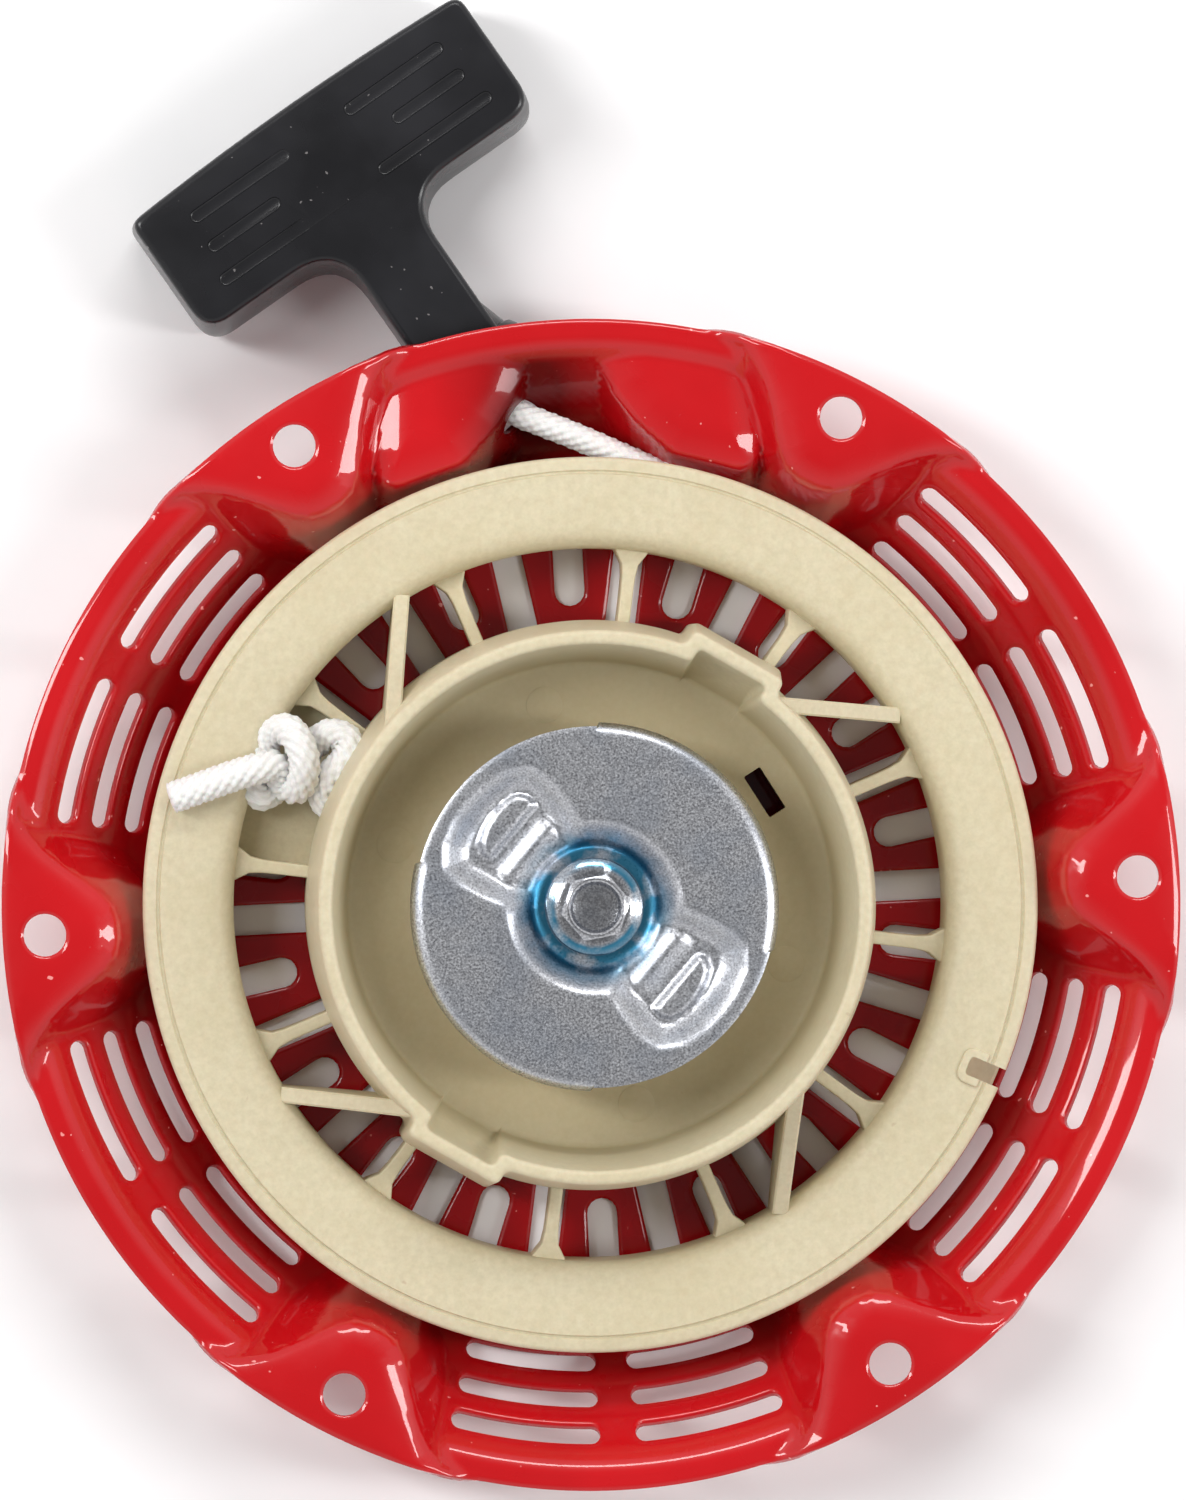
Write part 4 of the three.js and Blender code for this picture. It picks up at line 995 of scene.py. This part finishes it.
def build_guide():
    """The plate as rings, outwards over its face and back underneath, with two skirts turned down."""
    angles = (np.arange(360) + 0.5) * TAU / 360
    edge = guide_edge(angles)
    skirted = edge > GUIDE_R - 0.1
    rings_top, rings_bottom = [], []

    def add(rings, r, z):
        rings.append(list(zip(r * np.cos(angles), r * np.sin(angles), z)))

    for r in (*np.linspace(5.5, 9.6, 6), *np.arange(10.0, 27.4, 0.42)):
        z = guide_height(r * np.cos(angles), r * np.sin(angles))
        add(rings_top, r, z)
        add(rings_bottom, r, z - GUIDE_SHEET)
    under = GUIDE_BEND - GUIDE_SHEET
    for a in (0, 18, 36, 54, 72, 90):
        s, c = sind(a), cosd(a)
        r = np.where(skirted, GUIDE_R - GUIDE_BEND + GUIDE_BEND * s, 28.0 + (edge - 28.0) * a / 90)
        add(rings_top, r, np.where(skirted, GUIDE_TOP - GUIDE_BEND + GUIDE_BEND * c,
                                   GUIDE_TOP - 0.15 * (a / 90) ** 3))
        add(rings_bottom, np.where(skirted, GUIDE_R - GUIDE_BEND + under * s, r),
            np.where(skirted, GUIDE_TOP - GUIDE_BEND + under * c, GUIDE_TOP - GUIDE_SHEET))
    add(rings_top, edge, np.where(skirted, SKIRT_BOTTOM, GUIDE_TOP - 1.0))
    add(rings_bottom, np.where(skirted, GUIDE_R - GUIDE_SHEET, edge - 0.05),
        np.where(skirted, SKIRT_BOTTOM, GUIDE_TOP - 1.35))
    return loft("guide_plate", rings_top + rings_bottom[::-1], ZINC, closed=True, sharp=42)


guide = build_guide()
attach(guide, "guide")
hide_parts("ratchet_guide")


# -------- centre bolt
SHANK_R, BOLT_FLANGE_R, HEX_R, HEX_TOP = 3.0, 8.0, 5.77, 6.2


def above_seat(profile):
    return [(r, BOLT_SEAT + z) for r, z in profile]


def build_bolt():
    flange = turned("flange", above_seat([
        (0, -16), (SHANK_R - 0.4, -16), (SHANK_R, -15.4), (SHANK_R, 0), (BOLT_FLANGE_R - 0.2, 0),
        (BOLT_FLANGE_R, 0.25), (BOLT_FLANGE_R, 0.8), (BOLT_FLANGE_R - 0.3, 1.1), (5.6, 1.75), (0, 1.75)]),
        BOLT_ZINC, 72)
    hexa = slab("hexa", rounded(arc(0, 0, HEX_R, 8, 308, 6), 0.5, 4), BOLT_SEAT + 0.8, BOLT_SEAT + HEX_TOP,
                BOLT_ZINC)
    chamfer = turned("cone", above_seat([
        (0, 0), (BOLT_FLANGE_R, 0), (BOLT_FLANGE_R, 4.2), (4.85, HEX_TOP - 0.05), (4.5, HEX_TOP), (4.2, 6.0),
        (3.7, 5.2), (2.2, 4.9), (0, 4.85)]), None, 72)
    combine(hexa, [chamfer], "INTERSECT")
    combine(flange, [hexa], "UNION")
    return finished(flange, "flange_bolt", BOLT_ZINC, 30)


bolt = build_bolt()
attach(bolt, "housing")
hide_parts("centre_bolt")


# -------- handle
BAR_MIDDLE, STEM_HALF, STEM_FOOT = -0.85, 7.3, 11.0
GRIP_EDGE = 1.1
GROOVE_R, GROOVES = 1.15, ((56.6, 5.6, 25.2), (51.0, 11.3, 25.6), (45.4, 4.6, 27.2))
COLLAR = [(0, 4.8), (8.6, 4.8), (9.6, 5.6), (9.6, 12.4), (8.8, 13.5), (8.0, 13.8), (6.6, 18.5), (0, 18.5)]
BORE = [(0, -1), (3.1, -1), (3.1, 52.1), (6.5, 52.1), (6.5, 72), (0, 72)]


def on_pull(u, v, w):
    """A point of the handle: u along the pull from the outlet, v across it, w up."""
    return OUTLET + PULL * u + ACROSS * v + UP * w


def bar_outline(lean, grow):
    """The grip seen from above; lean moves its stem side, grow its other sides."""
    inner, outer = BAR_INNER - lean, BAR_OUTER + 0.4 * grow
    half, stem = BAR_HALF + grow, STEM_HALF + 0.6 * grow
    crown = [(outer + 1.1 * (1 - (v / half) ** 2), v) for v in np.linspace(-half + 5, half - 5, 9)]
    points = [(inner, -half), (outer, -half), *crown, (outer, half), (inner, half), (inner, stem),
              (STEM_FOOT, stem), (STEM_FOOT, -stem), (inner, -stem)]
    radii = [4.6, 2.2] + [0] * 9 + [2.2, 4.6, 8.5, 0.6, 0.6, 8.5]
    return resample(rounded([(u, v + BAR_MIDDLE) for u, v in points], radii, 9), 260)


def grip_body():
    """The bar and its stem as rings from underneath to the top, thinner towards the rope."""
    half = BAR_THICKNESS / 2
    rings = []
    for w, lean, grow in ((-half, -1.1, -1.3), (-half + 0.5, -0.35, -0.6), (-half + 1.6, 0.0, -0.25),
                          (-4.0, 0.0, 0.0), (0.0, -0.35, 0.0), (4.0, -0.9, -0.12),
                          (half - GRIP_EDGE, -1.7, -0.35)):
        rings.append(at_height(bar_outline(lean, grow), w))
    base = bar_outline(-1.7, -0.35)
    for a in (25, 50, 75, 90):
        inset = GRIP_EDGE * (1 - cosd(a))
        rings.append(at_height(base - outline_normals(base) * inset, half - GRIP_EDGE + GRIP_EDGE * sind(a)))
    thinned = [[(u, v, w * (0.72 + 0.28 * smooth_step((u - 13) / 24))) for u, v, w in ring] for ring in rings]
    return loft("grip", thinned, BLACK, sharp=40)


def along_pull(name, profile, material, count, squash):
    """A body of revolution laid along the pull; squash flattens it in height."""
    obj = turned(name, profile, material, count)
    obj.data.transform(Matrix(((0, 0, 1, 0), (1, 0, 0, 0), (0, squash, 0, 0), (0, 0, 0, 1))))
    return face_outwards(obj)


def grip_groove(u, low, high, mirror):
    ends = arc(0, low + GROOVE_R, GROOVE_R, 180, 360, 8) + arc(0, high - GROOVE_R, GROOVE_R, 0, 180, 8)
    half = BAR_THICKNESS / 2
    groove = slab("groove", [(u + a, b) for a, b in ends], half - 0.5, half + 2, None, 0.4)
    if mirror:
        groove.data.transform(Matrix.Scale(-1, 4, (0, 1, 0)))
        face_outwards(groove)
    return groove


def build_handle():
    body = grip_body()
    combine(body, [along_pull("collar", COLLAR, BLACK, 64, 0.78)], "UNION")
    cuts = [grip_groove(*groove, mirror) for groove in GROOVES for mirror in (False, True)]
    combine(body, cuts + [along_pull("bore", BORE, None, 40, 1)], "DIFFERENCE")
    x, y, z = OUTLET * MM
    body.data.transform(Matrix((
        (PULL[0], ACROSS[0], 0, x), (PULL[1], ACROSS[1], 0, y), (0, 0, 1, z), (0, 0, 0, 1))))
    return finished(face_outwards(body), "grip_moulding", BLACK, 38)


handle = build_handle()
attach(handle, "grip")
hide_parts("handle")


# -------- rope
STRANDS, PITCH = 8, 17.0


def smooth_path(points, spacing):
    """A Catmull-Rom line through the points, as equally spaced points."""
    pts = np.array(points, float)
    padded = np.concatenate([[2 * pts[0] - pts[1]], pts, [2 * pts[-1] - pts[-2]]])
    dense = []
    for i in range(1, len(padded) - 2):
        p0, p1, p2, p3 = padded[i - 1:i + 3]
        for t in np.linspace(0, 1, 24, endpoint=False):
            dense.append(0.5 * (2 * p1 + (p2 - p0) * t + (2 * p0 - 5 * p1 + 4 * p2 - p3) * t * t
                                + (3 * p1 - p0 - 3 * p2 + p3) * t ** 3))
    dense.append(padded[-2])
    dense = np.array(dense)
    length = np.concatenate([[0], np.cumsum(np.linalg.norm(np.diff(dense, axis=0), axis=1))])
    at = np.linspace(0, length[-1], max(3, int(length[-1] / spacing) + 1))
    return np.stack([np.interp(at, length, dense[:, k]) for k in range(3)], axis=1), length[-1]


def twisted_rope(name, points, radius, depth=0.55, spacing=0.5, sides=56):
    """A tube with strand ridges that wind round it; UV runs along and round the strands."""
    path, total = smooth_path(points, spacing)
    tangents = np.gradient(path, axis=0)
    tangents /= np.linalg.norm(tangents, axis=1)[:, None]
    normal = np.cross(tangents[0], (0.31, 0.17, 0.93))
    step = total / (len(path) - 1)
    rings = []
    for i, (p, t) in enumerate(zip(path, tangents)):
        normal = normal - t * (normal @ t)
        normal /= np.linalg.norm(normal)
        side = np.cross(t, normal)
        twist = TAU * i * step * STRANDS / PITCH
        ring = []
        for j in range(sides):
            a = TAU * j / sides
            lobe = abs(math.sin(0.5 * (STRANDS * a + twist)))
            counter = abs(math.sin(0.5 * (STRANDS * a - twist)))
            r = radius - depth * (1 - lobe) - 0.35 * depth * (1 - counter)
            ring.append(tuple(p + (normal * math.cos(a) + side * math.sin(a)) * r))
        rings.append(ring)

    def rounded_end(end, sign):
        """Two shrinking rings beyond one end of the path."""
        caps = []
        for shrink, back in ((0.82, 0.25), (0.5, 0.42)):
            middle = path[end] + tangents[end] * sign * back
            caps.append([tuple(middle + (np.array(q) - path[end]) * shrink) for q in rings[end]])
        return caps

    obj = loft(name, rounded_end(0, -1)[::-1] + rings + rounded_end(-1, 1), ROPE, sharp=180)
    vertex = loop_vertices(obj.data)
    index, around = vertex // sides, (vertex % sides) / sides
    uv = np.stack([index * step / 10.0, around + index * step / PITCH], axis=1)
    obj.data.uv_layers.new(name="along").data.foreach_set("uv", uv.astype(np.float32).ravel())
    return obj


LEAD_BEND, LEAD_SAG = 1.6, 1.4


def build_rope_run():
    """From the winding through the outlet, round its bend and along the pull into the grip."""
    leave = np.array(polar(RUN_LAYER_R, LEAVE_ANGLE, ROPE_Z))
    towards = (leave - OUTLET) / np.linalg.norm(leave - OUTLET)
    points = [polar(RUN_LAYER_R, a, ROPE_Z) for a in range(35, 65, 6)] + [tuple(leave)]
    bend = OUTLET + PULL * LEAD_BEND - towards * LEAD_SAG
    points += [tuple(bend + towards * d) for d in (16.8, 8.0, 3.0)]
    for d in (2.4, 8.0, 20.0, 35.0, 52.0):
        points.append(tuple(OUTLET + PULL * (LEAD_BEND + d) - towards * LEAD_SAG * max(0.0, 1 - d / 8)))
    return twisted_rope("rope_lead", points, radius=2.35, depth=0.5)


run = build_rope_run()
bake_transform(run)
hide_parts("rope_run")


def build_coil():
    turns = []
    for z in (11.25, 16.0):
        points = [polar(64.6, a, z) for a in np.linspace(0, 352, 60)]
        turns.append(twisted_rope("turn", points, radius=2.3, spacing=1.6, sides=24))
    return joined("rope_winding", turns)


coil = build_coil()
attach(coil, "spool")
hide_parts("rope_coil")


KNOT_X, KNOT_Y, KNOT_Z = -46.4, 25.2, 12.6
KNOT_ROUTE = [
    (8.6, -6.8, 3.4), (5.2, -6.6, 4.4), (3.4, -4.6, 6.2), (4.8, -1.4, 7.8), (7.2, 1.4, 8.2), (7.4, 4.4, 7.6),
    (4.6, 5.4, 6.6), (1.4, 3.2, 5.0), (-1.8, -0.4, 3.4), (-4.4, -3.4, 3.8), (-6.9, -4.6, 5.0),
    (-7.9, -1.6, 5.0), (-6.6, 2.4, 5.2), (-4.9, 5.6, 6.8), (-2.3, 6.2, 9.2), (-0.3, 3.4, 11.0),
    (0.4, -0.2, 10.8), (-0.7, -3.4, 8.4), (-3.0, -2.6, 6.6), (-4.4, 0.2, 8.6), (-7.4, -0.2, 10.2),
    (-11.4, -1.4, 10.6), (-16.4, -3.2, 10.7), (-21.4, -5.0, 10.6)]


def build_knot():
    """The knot that holds the rope in the reel; its route is given along the photograph's right and up."""
    place = Vector((KNOT_X, KNOT_Y, KNOT_Z))
    points = [tuple(place + from_photo_axes(*p)) for p in KNOT_ROUTE]
    return twisted_rope("reel_knot_rope", points, radius=2.75, depth=0.7)


knot = build_knot()
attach(knot, "spool")
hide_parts("reel_knot")


def build_grip_knot():
    points = []
    for k in range(15):
        a = TAU * k / 14 * 1.6
        points.append(tuple(on_pull(58.4 + 1.9 * math.cos(a * 1.5), 1.9 * math.cos(a), 1.9 * math.sin(a))))
    return twisted_rope("grip_knot_rope", points, radius=2.2, spacing=0.7, sides=32)


grip_knot = build_grip_knot()
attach(grip_knot, "grip")
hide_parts("handle_knot")

# -------- CAD pieces that stay as they are
for material, nodes in (
        (HARD, ("centre_post", "ratchet_1", "ratchet_2")),
        (SPRING, ("recoil_spring", "ratchet_spring_1", "ratchet_spring_2", "friction_spring")),
        (BOLT_ZINC, ("grip_washer",))):
    for node in nodes:
        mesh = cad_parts[node].data
        mesh.materials.clear()
        mesh.materials.append(material)
